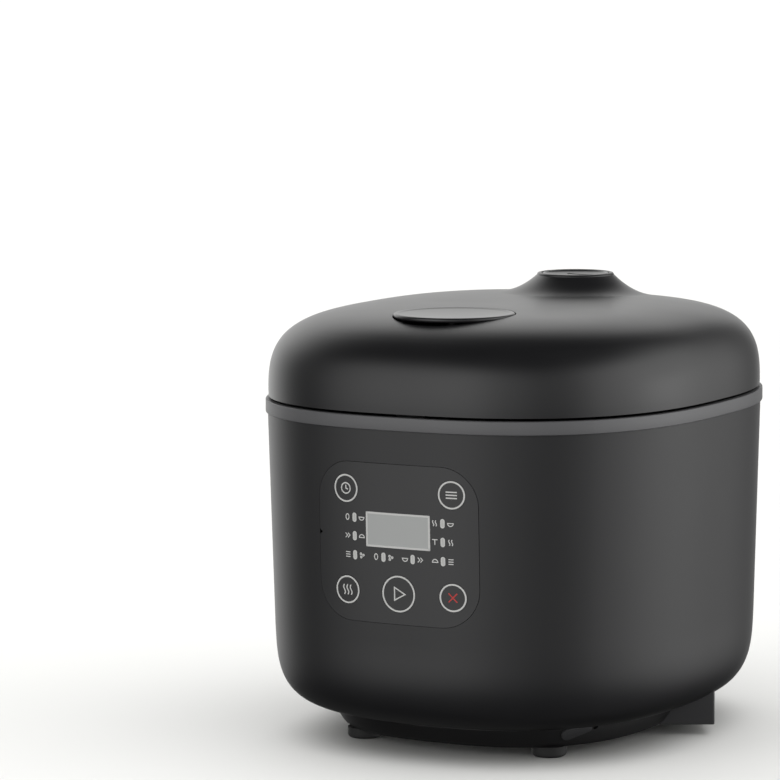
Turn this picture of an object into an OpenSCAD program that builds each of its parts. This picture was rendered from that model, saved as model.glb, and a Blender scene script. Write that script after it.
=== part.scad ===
// Rice cooker with a rounded, softly squared body and a domed lid.
// Origin: centre of the body's footprint on the floor. +Z is up and the
// front, with its control panel, faces -Y. All sizes are in millimetres.

/* [Body] */
// Width of the body at the seam, side to side
body_w = 240; // [236:1:250]
// Depth of the body over its width
depth_ratio = 1.133; // [1.12:0.001:1.15]
// How square the plan outline is (2 is an ellipse)
squareness = 2.6; // [2.5:0.05:2.8]
// Wall thickness of the body shell
body_wall = 3; // [2.5:0.1:3.4]
// Height of the light trim band's lower edge
band_z = 172.6; // [172:0.1:173]
// Height of the crease between the body and its base ring
crease_z = 16.5; // [16.3:0.1:17]
// Height of the underside of the base ring, which is also the height of the feet
base_z = 5.6; // [5:0.1:6]

/* [Lid] */
// Height of the lid's lower edge
lid_z = 180.9; // [180.6:0.1:181.2]
// Rise of the lid's dome above its lower edge
dome_h = 46.1; // [46:0.1:47]
// Wall thickness of the lid shell
lid_wall = 2.8; // [2.4:0.1:3]
// Height of the top of the steam chimney
chimney_top_z = 237.2; // [236.5:0.1:238]
// Distance of the steam chimney behind the centre
chimney_y = 71; // [70:1:72]

/* [Release button] */
// Diameter of the release button
button_d = 63; // [62:1:66]
// Distance of the release button in front of the centre
button_y = 71; // [70:1:72]
// How far the button travels when it is pressed
button_travel = 3; // [2:0.5:3]

/* [Control panel] */
// Width of the panel
panel_w = 92; // [91:0.5:92]
// Height of the panel
panel_h = 82; // [81:1:83]
// Height of the middle of the panel above the floor
panel_z = 114.5; // [114:0.5:115]
// Diameter of the four small keys
small_key_d = 15; // [14:0.5:15]
// Diameter of the start key
start_key_d = 19.4; // [19:0.2:20]

/* [Pot] */
// Outer radius of the inner pot
pot_r = 93; // [92:0.5:93]
// Wall thickness of the inner pot
pot_wall = 2; // [1.5:0.1:2.5]
// Distance of the pot's axis in front of the body's centre
pot_y = 6; // [5:0.5:6]

/* [Hidden] */
SEGMENTS = 48;
$fn = 48;
FIT = 0.3;

half_w = body_w / 2;
band_h = 7;
band_top_z = band_z + band_h;
deck_top_z = 178.5;
body_top_half = half_w - 1;
taper = 0.025;
corner_z = 60.2;
corner_half = body_top_half - taper * (band_z - corner_z);
under_half = 76;
under_z = crease_z - 0.4;
side_power = 3.2;
rise_power = 3.5;
ring_top_half = 89.4;
ring_low_half = 82.7;
base_wall = 2.5;
base_floor_z = base_z + base_wall;

lid_half = half_w - 1.3;
dome_side_power = 5.4;
dome_rise_power = 3.2;
liner_z = 182;
liner_t = 2.5;
chimney_r = 21;
chimney_bore = 16.5;
flare_r = 21;
cap_r = 18;
cap_t = 3.2;
cap_lip_z = chimney_top_z - cap_t;

hinge_y = 128;
hinge_z = 185.5;
knuckle_r = 4.8;
pin_r = 1.5;
RUN = 0.05;

button_top_z = 227.1;
button_t = 2.5;
well_floor_z = button_top_z - button_t - button_travel - 0.4;
stem_r = 4.5;
stem_end_z = 206.3;

latch_y = -106;
latch_z = 200;
pad_top_z = 206.1;
nose_z = 167.4;
catch_z = 170;

panel_tilt = 1.6;
panel_shift = -1.9;
panel_front = 133.3;
panel_r = 250;
panel_t = 3;
key_rows = [[-30.3, 27.1], [30.3, 27.1], [-30.3, -25.3], [30.3, -25.3], [0, -25.3]];
key_travel = 0.8;
lcd_w = 36.8;
lcd_h = 18;
lcd_up = 7;
light_w = 2.4;
light_h = 4.8;
light_spots = [
    for (side = [-1, 1]) for (up = [12.4, 2.85, -6.95]) [side * 25.3, up],
    for (side = [-1, 1]) [side * 8.4, -6.95]
];
board_y = 14;
board_post_x = 41;
board_post_up = 12;

plate_top_z = 62;
plate_bottom_z = 54;
housing_floor_z = 46;
housing_r = 97;
housing_top_z = 170;
sensor_r = 17.5;
foot_spots = [[-54.3, -70.6], [54.3, -70.6], [-54.3, 70.6], [54.3, 70.6]];
foot_r = 9;
screw_spots = [[-46, -56], [46, -56], [-46, 62], [46, 62]];
shelf_half = 55;
shelf_top_z = crease_z + 3;
board_floor_z = 13;
board_corners = [[-35, 2], [35, 2], [-35, 54], [35, 54]];
inlet_x = 34;
inlet_face_y = 119;

// ---- Outlines and lofts ----------------------------------------------

// Point of a squared ellipse at one angle
function plan_point(half_x, half_y, power, angle) =
    let (reach = pow(pow(abs(cos(angle)) / half_x, power)
                   + pow(abs(sin(angle)) / half_y, power), -1 / power))
    [reach * cos(angle), reach * sin(angle)];

// Plan outline for a half width, drawn in by a wall thickness
function plan_outline(half, inset = 0, power = squareness) = [
    for (step = [0 : SEGMENTS - 1])
        plan_point(half - inset, half * depth_ratio - inset, power, step * 360 / SEGMENTS)
];

// Half width of the body at a share of the way round its lower corner
function corner_drop(angle) = pow(sin(angle), 2 / rise_power);
function corner_turn(angle) = pow(cos(angle), 2 / side_power);
CREASE_ANGLE = asin(pow((corner_z - crease_z) / (corner_z - under_z), rise_power / 2));

// Sections of the body from the crease up: height, half width, plan power
body_sections = concat(
    [for (angle = [CREASE_ANGLE, 76, 70, 62, 53, 43, 33, 22, 12, 0])
        [corner_z - (corner_z - under_z) * corner_drop(angle),
         under_half + (corner_half - under_half) * corner_turn(angle),
         squareness - 0.15 * corner_drop(angle)]],
    [[115, body_top_half - taper * (band_z - 115), squareness],
     [band_z, body_top_half, squareness]]
);

// Sections of the base ring, from its underside up to the crease
ring_sections = [
    [base_z, ring_low_half, squareness],
    [base_z + 4, ring_low_half + 3.2, squareness - 0.06],
    [crease_z, ring_top_half, squareness - 0.15]
];

// Sections of the lid's dome
lid_sections = [
    for (angle = [0, 8, 16, 24, 32, 40, 48, 56, 64, 72, 80, 87])
        [lid_z + dome_h * pow(sin(angle), 2 / dome_rise_power),
         lid_half * pow(cos(angle), 2 / dome_side_power),
         squareness]
];

// Closed solid over rings of points, stacked from the lowest up
module stacked(points, count) {
    sides = [
        for (row = [0 : count - 2]) for (step = [0 : SEGMENTS - 1])
            let (next = (step + 1) % SEGMENTS, low = row * SEGMENTS, high = low + SEGMENTS)
            each [[low + step, high + step, low + next], [low + next, high + step, high + next]]
    ];
    floor_face = [[for (step = [0 : SEGMENTS - 1]) step]];
    top_face = [[for (step = [SEGMENTS - 1 : -1 : 0]) (count - 1) * SEGMENTS + step]];
    polyhedron(points, concat(sides, floor_face, top_face));
}

// Closed solid through a list of sections, drawn in by a wall thickness
module loft(sections, inset = 0) {
    stacked([for (s = sections) for (p = plan_outline(s[1], inset, s[2])) [p.x, p.y, s[0]]],
            len(sections));
}

// Straight-sided slab with the plan outline
module plan_slab(half, low_z, high_z, inset = 0) {
    translate([0, 0, low_z]) linear_extrude(high_z - low_z)
        polygon(plan_outline(half, inset));
}

// Tube swept along a short route, for leads and coils
function unit(v) = v / norm(v);
function route_heading(route, i) =
    unit(route[min(i + 1, len(route) - 1)] - route[max(i - 1, 0)]);
module swept_tube(route, r, up = [0, 0, 1]) {
    sides = 8;
    rings = len(route);
    points = [
        for (i = [0 : rings - 1])
            let (ahead = route_heading(route, i), across = unit(cross(ahead, up)),
                 over = cross(across, ahead))
            for (k = [0 : sides - 1])
                route[i] + r * (cos(k * 360 / sides) * across + sin(k * 360 / sides) * over)
    ];
    walls = [
        for (i = [0 : rings - 2]) for (k = [0 : sides - 1])
            let (next = (k + 1) % sides, low = i * sides, high = low + sides)
            each [[low + k, low + next, high + k], [low + next, high + next, high + k]]
    ];
    first = [[for (k = [sides - 1 : -1 : 0]) k]];
    last = [[for (k = [0 : sides - 1]) (rings - 1) * sides + k]];
    polyhedron(points, concat(walls, first, last));
}

// Compression coil standing on the XY plane
module coil(r, wire_r, height, turns) {
    steps = turns * 10;
    route = [for (i = [0 : steps])
        [r * cos(i * 36), r * sin(i * 36), wire_r + (height - 2 * wire_r) * i / steps]];
    swept_tube(route, wire_r);
}

module ring(outer_r, inner_r, low_z, high_z) {
    translate([0, 0, low_z]) difference() {
        cylinder(r = outer_r, h = high_z - low_z);
        translate([0, 0, -1]) cylinder(r = inner_r, h = high_z - low_z + 2);
    }
}

module block(low, high) { translate(low) cube(high - low); }

module at_pot() { translate([0, -pot_y, 0]) children(); }

// Frame of the control panel: x across, y inwards, z up the panel
module on_panel() { translate([0, -panel_front, panel_z]) rotate([panel_tilt, 0, 0]) children(); }

// Cylinder along the panel's inward direction
module inward(r, low_y, high_y) {
    translate([0, low_y, 0]) rotate([-90, 0, 0]) cylinder(r = r, h = high_y - low_y);
}

// Solid behind the panel's curved front face
module behind_front(high_y) {
    intersection() {
        translate([0, panel_r, -60]) cylinder(r = panel_r, h = 120, $fn = 720);
        block([-60, -1, -60], [60, high_y, 60]);
    }
}

module light_shape(grow) {
    square([light_w + 2 * grow, light_h - light_w], center = true);
    for (up = [-1, 1]) translate([0, up * (light_h - light_w) / 2]) circle(r = light_w / 2 + grow);
}

module panel_outline(grow) {
    r = 20;
    translate([panel_shift, 0]) {
        square([panel_w - 2 * r, panel_h + 2 * grow], center = true);
        square([panel_w + 2 * grow, panel_h - 2 * r], center = true);
        for (x = [-1, 1]) for (y = [-1, 1])
            translate([x * (panel_w / 2 - r), y * (panel_h / 2 - r)]) circle(r = r + grow);
    }
}

// Prism of the panel's outline, running inwards
module panel_prism(grow, low_y, high_y) {
    translate([0, high_y, 0]) rotate([90, 0, 0]) linear_extrude(high_y - low_y)
        panel_outline(grow);
}

// ---- Casing -----------------------------------------------------------

module outer_body() {
    color([0.11, 0.11, 0.115]) difference() {
        union() {
            difference() {
                loft(body_sections);
                difference() {
                    loft(body_sections, body_wall);
                    translate([0, 0, crease_z - 1]) cylinder(r = 200, h = shelf_top_z - crease_z + 1);
                }
            }
            intersection() {
                loft(body_sections);
                block([inlet_x - 18, 102.5, crease_z], [inlet_x + 18, 125, 26]);
            }
        }
        block([inlet_x - 15, 102.5, 9], [inlet_x + 15, 125, 23]);
        block([inlet_x - 9, 90, 10], [inlet_x + 9, 103, 20]);
        plan_slab(body_top_half, band_z - 3, band_z + 1, body_wall);
        plan_slab(shelf_half, crease_z - 1, shelf_top_z + 1);
        on_panel() panel_prism(0.15, -20, 16);
        for (spot = screw_spots) translate([spot.x, spot.y, 0]) cylinder(r = 1.55, h = 40);
    }
}

module base_plate() {
    color([0.09, 0.09, 0.095]) difference() {
        union() {
            difference() {
                loft(ring_sections);
                translate([0, 0, base_wall]) plan_slab(ring_low_half, base_z, crease_z, base_wall);
            }
            for (spot = screw_spots)
                translate([spot.x, spot.y, base_z]) cylinder(r = 4.5, h = crease_z - base_z);
            for (spot = board_corners)
                translate([spot.x, spot.y, base_z]) cylinder(r = 3.5, h = board_floor_z - base_z);
        }
        for (spot = screw_spots) translate([spot.x, spot.y, base_z - 1]) {
            cylinder(r = 1.8, h = 20);
            cylinder(r = 3.5, h = 4.2);
        }
        for (spot = board_corners)
            translate([spot.x, spot.y, base_z + 3]) cylinder(r = 1.3, h = 12);
        for (spot = foot_spots) translate([spot.x, spot.y, base_z - 1]) cylinder(r = 3, h = 6);
        for (x = [-30 : 10 : 30]) block([x - 2, -50, base_z - 1], [x + 2, -24, base_floor_z + 1]);
        block([inlet_x - 9, 80, 9.5], [inlet_x + 9, 120, crease_z + 1]);
    }
}

// Rubber foot with a stub that presses into the base plate
module foot() {
    rotate_extrude() polygon([
        [0, 0], [foot_r - 1.6, 0], [foot_r - 0.5, 0.5], [foot_r, 1.6],
        [foot_r, base_z], [3, base_z], [3, base_floor_z], [0, base_floor_z]
    ]);
}

module front_feet() {
    color([0.13, 0.13, 0.13]) for (i = [0, 1])
        translate([foot_spots[i].x, foot_spots[i].y, 0]) foot();
}

module rear_feet() {
    color([0.13, 0.13, 0.13]) for (i = [2, 3])
        translate([foot_spots[i].x, foot_spots[i].y, 0]) foot();
}

module trim_ring() {
    color([0.4, 0.4, 0.41]) difference() {
        plan_slab(half_w, band_z, band_top_z);
        plan_slab(half_w, band_z - 1, band_top_z + 1, 2.7);
        block([-62, 110, deck_top_z - 1.1], [62, 150, band_top_z + 1]);
    }
}

module upper_frame() {
    color([0.1, 0.1, 0.105]) difference() {
        union() {
            plan_slab(half_w, band_z, deck_top_z, 2.8);
            at_pot() ring(103, 94.5, housing_top_z, band_z + 1);
        }
        at_pot() translate([0, 0, 160]) cylinder(r = 94.5, h = 30);
        at_pot() translate([0, 0, 173.8]) cylinder(r = 100.5, h = 10);
        block([-12.5, -127, 165], [12.5, -109.2, 180]);
        block([-62, 118, deck_top_z - 1.1], [62, 150, 180]);
        for (side = [-1, 1]) block([side * 20 - 6.3, 123.2, 170], [side * 20 + 6.3, 140, 180]);
    }
}

// Screws that hold the base plate to the body
module cross_screw(head_r, head_h, shank_r, length) {
    difference() {
        union() {
            cylinder(r = head_r, h = head_h);
            cylinder(r = shank_r, h = length);
        }
        for (turn = [0, 90]) rotate(turn) block([-head_r * 0.6, -0.4, -1], [head_r * 0.6, 0.4, 0.9]);
    }
}

module base_screws() {
    color([0.6, 0.6, 0.62]) for (spot = screw_spots)
        translate([spot.x, spot.y, base_z + 1]) cross_screw(3.2, 2.2, 1.5, shelf_top_z - base_z - 1);
}

// ---- Power inlet --------------------------------------------------------

// Plan of the housing: flank corner, rear corners, then inside the base ring
inlet_plan = [[81.2, 2.4], [108.6, 16.4], [54, inlet_face_y], [12, inlet_face_y], [12, 60], [50, 0]];
inlet_room = [[80, 8], [104.6, 18.6], [51.5, inlet_face_y - 3], [15, inlet_face_y - 3], [15, 60], [50, 4]];

module inlet_housing() {
    color([0.2, 0.2, 0.205]) difference() {
        union() {
            difference() {
                translate([0, 0, base_z]) linear_extrude(40) polygon(inlet_plan);
                translate([0, 0, base_floor_z]) linear_extrude(40) polygon(inlet_room);
            }
            block([inlet_x - 18, 102, base_z + 1], [inlet_x + 18, inlet_face_y - 2, 26]);
        }
        loft(ring_sections);
        loft(body_sections);
        block([inlet_x - 15, 102.5, 9], [inlet_x + 15, 130, 23]);
        block([inlet_x - 9, 100, 9], [inlet_x + 9, 103, 20]);
    }
}

module inlet_socket() {
    color([0.07, 0.07, 0.07]) difference() {
        block([inlet_x - 15, 102.5, 9], [inlet_x + 15, 106.5, 23]);
        for (side = [-1, 1]) translate([inlet_x + side * 7, 100, 16]) rotate([-90, 0, 0])
            cylinder(r = 2, h = 20);
    }
}

module inlet_pins() {
    color([0.75, 0.7, 0.5]) for (side = [-1, 1]) translate([inlet_x + side * 7, 0, 16])
        rotate([-90, 0, 0]) {
            translate([0, 0, 101.8]) cylinder(r = 2, h = 9.2);
            translate([0, 0, 111]) sphere(r = 2);
        }
}

// ---- Control panel --------------------------------------------------------

module control_panel() {
    color([0.13, 0.13, 0.135]) on_panel() difference() {
        union() {
            intersection() {
                behind_front(panel_t + 4);
                panel_prism(0, -5, panel_t + 4);
            }
            for (x = [-1, 1]) for (z = [-1, 1])
                translate([x * board_post_x, 0, z * board_post_up]) inward(3, 6.5, board_y);
        }
        difference() {
            block([panel_shift - 43, panel_t + 1.4, -38], [panel_shift + 43, 20, 38]);
            for (x = [-1, 1]) for (z = [-1, 1])
                translate([x * board_post_x, 0, z * board_post_up]) inward(3, 0, 30);
        }
        block([-lcd_w / 2 - 0.2, -2, lcd_up - lcd_h / 2 - 0.2],
              [lcd_w / 2 + 0.2, 12, lcd_up + lcd_h / 2 + 0.2]);
        for (i = [0 : 4]) translate([key_rows[i].x, 0, key_rows[i].y])
            inward(key_radius(i) + FIT, -5, 12);
        for (spot = light_spots) translate([spot.x, 12, spot.y]) rotate([90, 0, 0])
            linear_extrude(20) light_shape(0.1);
        for (x = [-1, 1]) for (z = [-1, 1])
            translate([x * board_post_x, 0, z * board_post_up]) inward(1.05, 8, 20);
    }
}
function key_radius(i) = (i == 4 ? start_key_d : small_key_d) / 2;

// Key with a curved face, a flange behind the panel and a stem to its switch
module key(i) {
    color([0.15, 0.15, 0.155]) on_panel() {
        intersection() {
            behind_front(9);
            translate([key_rows[i].x, 0, key_rows[i].y]) inward(key_radius(i), -5, 9);
        }
        translate([key_rows[i].x, 0, key_rows[i].y]) inward(key_radius(i) + 1.2, 4.8, 5.8);
        translate([key_rows[i].x, 0, key_rows[i].y]) inward(2, 5, 9.2);
    }
}
module timer_key() { key(0); }
module menu_key() { key(1); }
module keep_warm_key() { key(2); }
module cancel_key() { key(3); }
module start_key() { key(4); }

module lcd_window() {
    color([0.6, 0.62, 0.62]) on_panel() intersection() {
        behind_front(2.2);
        block([-lcd_w / 2, -1, lcd_up - lcd_h / 2], [lcd_w / 2, 2.2, lcd_up + lcd_h / 2]);
    }
}

module lcd_module() {
    color([0.55, 0.6, 0.55]) on_panel()
        block([-21, panel_t + 1.5, lcd_up - 10.4], [21, board_y, lcd_up + 10.4]);
}

module indicator_lights() {
    color([0.85, 0.85, 0.83]) on_panel() for (spot = light_spots)
        intersection() {
            behind_front(board_y - 0.2);
            translate([spot.x, board_y - 0.2, spot.y]) rotate([90, 0, 0])
                linear_extrude(20) light_shape(0);
        }
}

module control_board() {
    color([0.1, 0.35, 0.2]) on_panel() difference() {
        block([-44, board_y, -38], [44, board_y + 1.6, 38]);
        for (x = [-1, 1]) for (z = [-1, 1])
            translate([x * board_post_x, 0, z * board_post_up]) inward(1.1, 10, 20);
    }
}

module key_switches() {
    color([0.2, 0.2, 0.2]) on_panel() for (i = [0 : 4])
        translate([key_rows[i].x, 0, key_rows[i].y]) {
            block([-3, 11, -3], [3, board_y, 3]);
            inward(1.6, 9.4 + key_travel, 11);
        }
}

module board_screws() {
    color([0.6, 0.6, 0.62]) on_panel() for (x = [-1, 1]) for (z = [-1, 1])
        translate([x * board_post_x, board_y + 1.6, z * board_post_up]) {
            inward(2.2, 0, 1.5);
            inward(1, -6, 0);
        }
}

// ---- Heater and pot -------------------------------------------------------

module pot_housing() {
    wall = 1.5;
    color([0.7, 0.7, 0.7]) at_pot() difference() {
        rotate_extrude() polygon([
            [20, housing_floor_z], [housing_r + wall, housing_floor_z],
            [housing_r + wall, housing_top_z - wall], [102.5, housing_top_z - wall],
            [102.5, housing_top_z], [housing_r, housing_top_z],
            [housing_r, housing_floor_z + wall], [20, housing_floor_z + wall]
        ]);
        for (side = [-1, 1]) translate([side * 45, 0, housing_floor_z - 1]) cylinder(r = 5, h = 4);
    }
}

module side_heater() {
    color([0.55, 0.5, 0.42]) at_pot() ring(101, housing_r + 1.7, 118, 150);
}

module heating_plate() {
    color([0.75, 0.75, 0.76]) at_pot() {
        rotate_extrude() polygon([
            [20, plate_bottom_z + 2], [24, plate_bottom_z], [72, plate_bottom_z],
            [78, plate_bottom_z + 3], [78, plate_top_z - 3], [74, plate_top_z],
            [20, plate_top_z]
        ]);
        for (side = [-1, 1]) translate([side * 45, 0, 38]) cylinder(r = 3, h = plate_bottom_z - 38);
    }
}

module plate_supports() {
    color([0.65, 0.65, 0.66]) at_pot() for (turn = [90, 210, 330]) rotate(turn)
        translate([60, 0, housing_floor_z + 1.5])
            cylinder(r = 4, h = plate_bottom_z - housing_floor_z - 1.5);
}

module sensor_guide() {
    color([0.6, 0.6, 0.6]) at_pot() rotate_extrude() polygon([
        [6, 34], [24, 34], [24, 40], [29, 44.5], [29, housing_floor_z],
        [21, housing_floor_z], [21, 36], [6, 36]
    ]);
}

module temperature_sensor() {
    top = plate_top_z - 0.1;
    color([0.8, 0.8, 0.8]) at_pot() rotate_extrude() polygon([
        [0, 31], [5.5, 31], [5.5, top - 3], [sensor_r - 1.5, top - 3],
        [sensor_r - 1.5, top - 8], [sensor_r, top - 8], [sensor_r, top - 1.5],
        [sensor_r - 1.5, top], [0, top]
    ]);
}

module sensor_spring() {
    color([0.7, 0.7, 0.7]) at_pot() translate([0, 0, 36.1]) coil(9, 0.7, 22.5, 5);
}

module thermal_fuse() {
    color([0.75, 0.72, 0.65]) at_pot() translate([0, 38, 43.6]) rotate([0, 90, 0]) {
        translate([0, 0, -7]) cylinder(r = 2.4, h = 14);
        translate([0, 0, -14]) cylinder(r = 0.6, h = 28);
    }
}

// Pot wall as a turned outline with a rounded foot and a flat rim
module inner_pot() {
    foot_round = 14;
    low = plate_top_z;
    rim_z = 174;
    outer_arc = [for (a = [0 : 15 : 90])
        [pot_r - foot_round + foot_round * sin(a), low + foot_round - foot_round * cos(a)]];
    inner_arc = [for (a = [90 : -15 : 0])
        [pot_r - foot_round + (foot_round - pot_wall) * sin(a),
         low + foot_round - (foot_round - pot_wall) * cos(a)]];
    color([0.25, 0.25, 0.26]) at_pot() rotate_extrude() polygon(concat(
        [[0, low]], outer_arc,
        [[pot_r, rim_z], [99.5, rim_z], [99.5, rim_z + 1.5], [pot_r - pot_wall, rim_z + 1.5]],
        inner_arc, [[0, low + pot_wall]]
    ));
}

// ---- Electrics in the base ----------------------------------------------

module power_board() {
    color([0.12, 0.38, 0.2]) difference() {
        block([-39, -3, board_floor_z], [39, 58, board_floor_z + 1.6]);
        for (spot = board_corners)
            translate([spot.x, spot.y, board_floor_z - 1]) cylinder(r = 1.4, h = 4);
    }
}

module power_relay() {
    color([0.1, 0.2, 0.5]) block([14, 8, board_floor_z + 1.6], [34, 24, board_floor_z + 12]);
}

module transformer() {
    color([0.75, 0.65, 0.2]) {
        block([-30, 10, board_floor_z + 1.6], [-6, 30, board_floor_z + 11]);
        block([-25, 8, board_floor_z + 3], [-11, 10, board_floor_z + 10]);
    }
}

module filter_capacitor() {
    color([0.15, 0.15, 0.35]) translate([4, 48, board_floor_z + 1.6]) cylinder(r = 6, h = 13);
}

module power_board_screws() {
    color([0.6, 0.6, 0.62]) for (spot = board_corners) translate([spot.x, spot.y, 0]) {
        translate([0, 0, board_floor_z + 1.6]) cylinder(r = 2.3, h = 1.6);
        translate([0, 0, board_floor_z - 4]) cylinder(r = 1.2, h = 6);
    }
}

function bend(a, b, c, steps = 8) = [
    for (i = [0 : steps]) let (t = i / steps)
        (1 - t) * (1 - t) * a + 2 * t * (1 - t) * b + t * t * c
];

module mains_leads() {
    color([0.35, 0.25, 0.2]) for (side = [-1, 1])
        swept_tube(bend([inlet_x + side * 7, 101.8, 16], [inlet_x + side * 5, 86, 8.5],
                        [inlet_x - 9 + side * 4, 58.4, board_floor_z + 0.8]), 1.3);
}

module heater_leads() {
    color([0.8, 0.8, 0.75]) for (side = [-1, 1])
        swept_tube(bend([side * 45, -pot_y, 38], [side * 49, 6, 14],
                        [side * 38.6, 34, board_floor_z + 1.6]), 1.2, [1, 0, 0]);
}

module panel_lead() {
    color([0.85, 0.85, 0.85])
        swept_tube(bend([0, -115.4, 82], [0, -128, 19], [0, -3.4, board_floor_z + 0.8], 12), 1.6, [1, 0, 0]);
}

// ---- Latch catch and hinge ------------------------------------------------

module latch_catch() {
    color([0.7, 0.7, 0.71]) block([-17, -113, catch_z], [17, -109.4, band_z]);
}

module hinge_bracket() {
    color([0.68, 0.68, 0.7]) difference() {
        union() {
            block([-30, 104, band_z - 2.4], [30, 129, band_z]);
            for (side = [-1, 1]) {
                block([side * 20 - 6, 123.5, band_z - 2.4], [side * 20 + 6, 129, band_z]);
                block([side * 20 - 6, 123.5, band_z], [side * 20 + 6, 131.5, hinge_z]);
                translate([side * 20 - 6, hinge_y, hinge_z]) rotate([0, 90, 0])
                    cylinder(r = knuckle_r, h = 12);
            }
        }
        translate([-40, hinge_y, hinge_z]) rotate([0, 90, 0]) cylinder(r = pin_r, h = 80);
    }
}

module hinge_pin() {
    color([0.75, 0.75, 0.76]) translate([-34, hinge_y, hinge_z]) rotate([0, 90, 0])
        cylinder(r = pin_r, h = 68);
}

module hinge_spring() {
    color([0.6, 0.6, 0.6]) translate([-12, hinge_y, hinge_z]) rotate([0, 90, 0])
        coil(2.6, 0.5, 24, 8);
}

// ---- Lid --------------------------------------------------------------------

// Height of the dome above a point of the plan
function dome_height(x, y) =
    let (share = pow(pow(abs(x) / lid_half, squareness)
                   + pow(abs(y) / lid_half / depth_ratio, squareness), 1 / squareness))
    lid_z + dome_h * pow(1 - pow(share, dome_side_power), 1 / dome_rise_power);

// Point of the chimney's flare: rise runs from 0 on the dome to 1 at the rim
function flare_point(rise, turn) =
    let (r = chimney_r + flare_r * (1 - rise), side = [cos(turn), sin(turn)],
         foot = dome_height(r * side.x, chimney_y + r * side.y),
         rim = dome_height(chimney_r * side.x, chimney_y + chimney_r * side.y))
    [r * side.x, r * side.y, foot + (chimney_top_z - 1.2 - rim) * pow(rise, 2)];

// Outside of the steam chimney: a concave flare that runs out on the dome
module chimney() {
    rises = [0 : 0.125 : 1];
    points = concat(
        [for (k = [0 : SEGMENTS - 1]) let (p = flare_point(0, k * 360 / SEGMENTS)) [p.x, p.y, 214]],
        [for (rise = rises) for (k = [0 : SEGMENTS - 1]) flare_point(rise, k * 360 / SEGMENTS)],
        [for (k = [0 : SEGMENTS - 1]) [(chimney_r - 1.2) * cos(k * 360 / SEGMENTS),
                                       (chimney_r - 1.2) * sin(k * 360 / SEGMENTS), chimney_top_z]]
    );
    translate([0, chimney_y, 0]) stacked(points, 11);
}

module lid_shell() {
    well_r = button_d / 2 + 0.4;
    color([0.11, 0.11, 0.115]) difference() {
        union() {
            difference() {
                union() {
                    loft(lid_sections);
                    chimney();
                }
                translate([0, 0, -lid_wall]) loft(lid_sections, lid_wall);
                plan_slab(lid_half, lid_z - 1, lid_z + 2, lid_wall);
            }
            intersection() {
                loft(lid_sections);
                translate([0, -button_y, well_floor_z - 2.5]) cylinder(r = well_r + 2.5, h = 20);
            }
            intersection() {
                loft(lid_sections);
                translate([0, chimney_y, 216]) cylinder(r = chimney_r, h = 20);
            }
        }
        translate([0, -button_y, well_floor_z]) cylinder(r = well_r, h = 20);
        translate([0, -button_y, 200]) cylinder(r = stem_r + 0.5, h = 40);
        translate([0, chimney_y, 190]) cylinder(r = chimney_bore, h = 60);
        translate([0, chimney_y, cap_lip_z - 0.1]) cylinder(r = cap_r + 0.5, h = 10);
        block([-62, 118, lid_z - 1], [62, 150, 182.5]);
        for (side = [-1, 1]) block([side * 24 - 10.7, 118, lid_z - 1], [side * 24 + 10.7, 150, 192]);
    }
}

module lid_liner() {
    color([0.12, 0.12, 0.125]) difference() {
        union() {
            plan_slab(lid_half, liner_z, liner_z + liner_t, lid_wall + 0.6);
            at_pot() translate([0, 0, 178.4]) cylinder(r = 10, h = 4);
        }
        at_pot() translate([0, 0, 170]) cylinder(r = 4, h = 30);
        translate([0, chimney_y, 170]) cylinder(r = chimney_bore, h = 30);
        block([-9.5, -126, 170], [9.5, -112.4, 190]);
        for (side = [-1, 1]) block([side * 24 - 10.7, 117, 170], [side * 24 + 10.7, 150, 190]);
        block([-14, 123.5, 170], [14, 150, 190]);
    }
}

module lid_hinge_arms() {
    color([0.68, 0.68, 0.7]) for (side = [-1, 1]) difference() {
        union() {
            block([side * 30.4 - 3.6, 100, liner_z + liner_t], [side * 30.4 + 3.6, hinge_y, 189]);
            translate([side * 30.4 - 3.6, hinge_y, hinge_z]) rotate([0, 90, 0])
                cylinder(r = knuckle_r, h = 7.2);
        }
        translate([side * 30.4 - 10, hinge_y, hinge_z]) rotate([0, 90, 0])
            cylinder(r = pin_r + RUN, h = 20);
        translate([side * 30.4, 107, 180]) cylinder(r = 1.3, h = 20);
    }
}

module hinge_arm_screws() {
    color([0.6, 0.6, 0.62]) for (side = [-1, 1]) translate([side * 30.4, 107, 0]) {
        translate([0, 0, 189]) cylinder(r = 2.6, h = 1.8);
        translate([0, 0, liner_z + liner_t]) cylinder(r = 1.2, h = 5);
    }
}

module inner_lid() {
    color([0.75, 0.75, 0.76]) at_pot() difference() {
        rotate_extrude() polygon([
            [4, 177.2], [54, 177.2], [59, 176.4], [96, 176.4], [96, 177.6],
            [59, 177.6], [54, 178.4], [4, 178.4]
        ]);
        for (turn = [0 : 60 : 300]) translate([0, chimney_y + pot_y, 170]) rotate(turn)
            translate([8, 0, 0]) cylinder(r = 2, h = 20);
    }
}

// Silicone lip that closes on the pot's rim
module inner_lid_gasket() {
    color([0.55, 0.55, 0.55]) at_pot() rotate_extrude() polygon([
        [93.5, 175.9], [96.5, 175.9], [98.8, 175.8], [99.6, 177], [99, 181.8],
        [96.5, 181.8], [96, 177.6], [96, 176.4], [93.5, 176.4]
    ]);
}

module inner_lid_knob() {
    color([0.5, 0.5, 0.5]) at_pot() rotate_extrude() polygon([
        [0, 172], [7, 172], [9.5, 173.5], [9.5, 176], [6, 177.2],
        [4, 177.2], [4, liner_z + liner_t], [0, liner_z + liner_t]
    ]);
}

module steam_duct() {
    color([0.16, 0.16, 0.165]) translate([0, chimney_y, 0]) rotate_extrude() polygon([
        [14.4, 180.4], [16.2, 180.4], [16.2, liner_z + liner_t], [20, liner_z + liner_t],
        [20, liner_z + liner_t + 2], [16.2, liner_z + liner_t + 2], [16.2, cap_lip_z - 0.2],
        [14.4, cap_lip_z - 0.2]
    ]);
}

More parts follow.
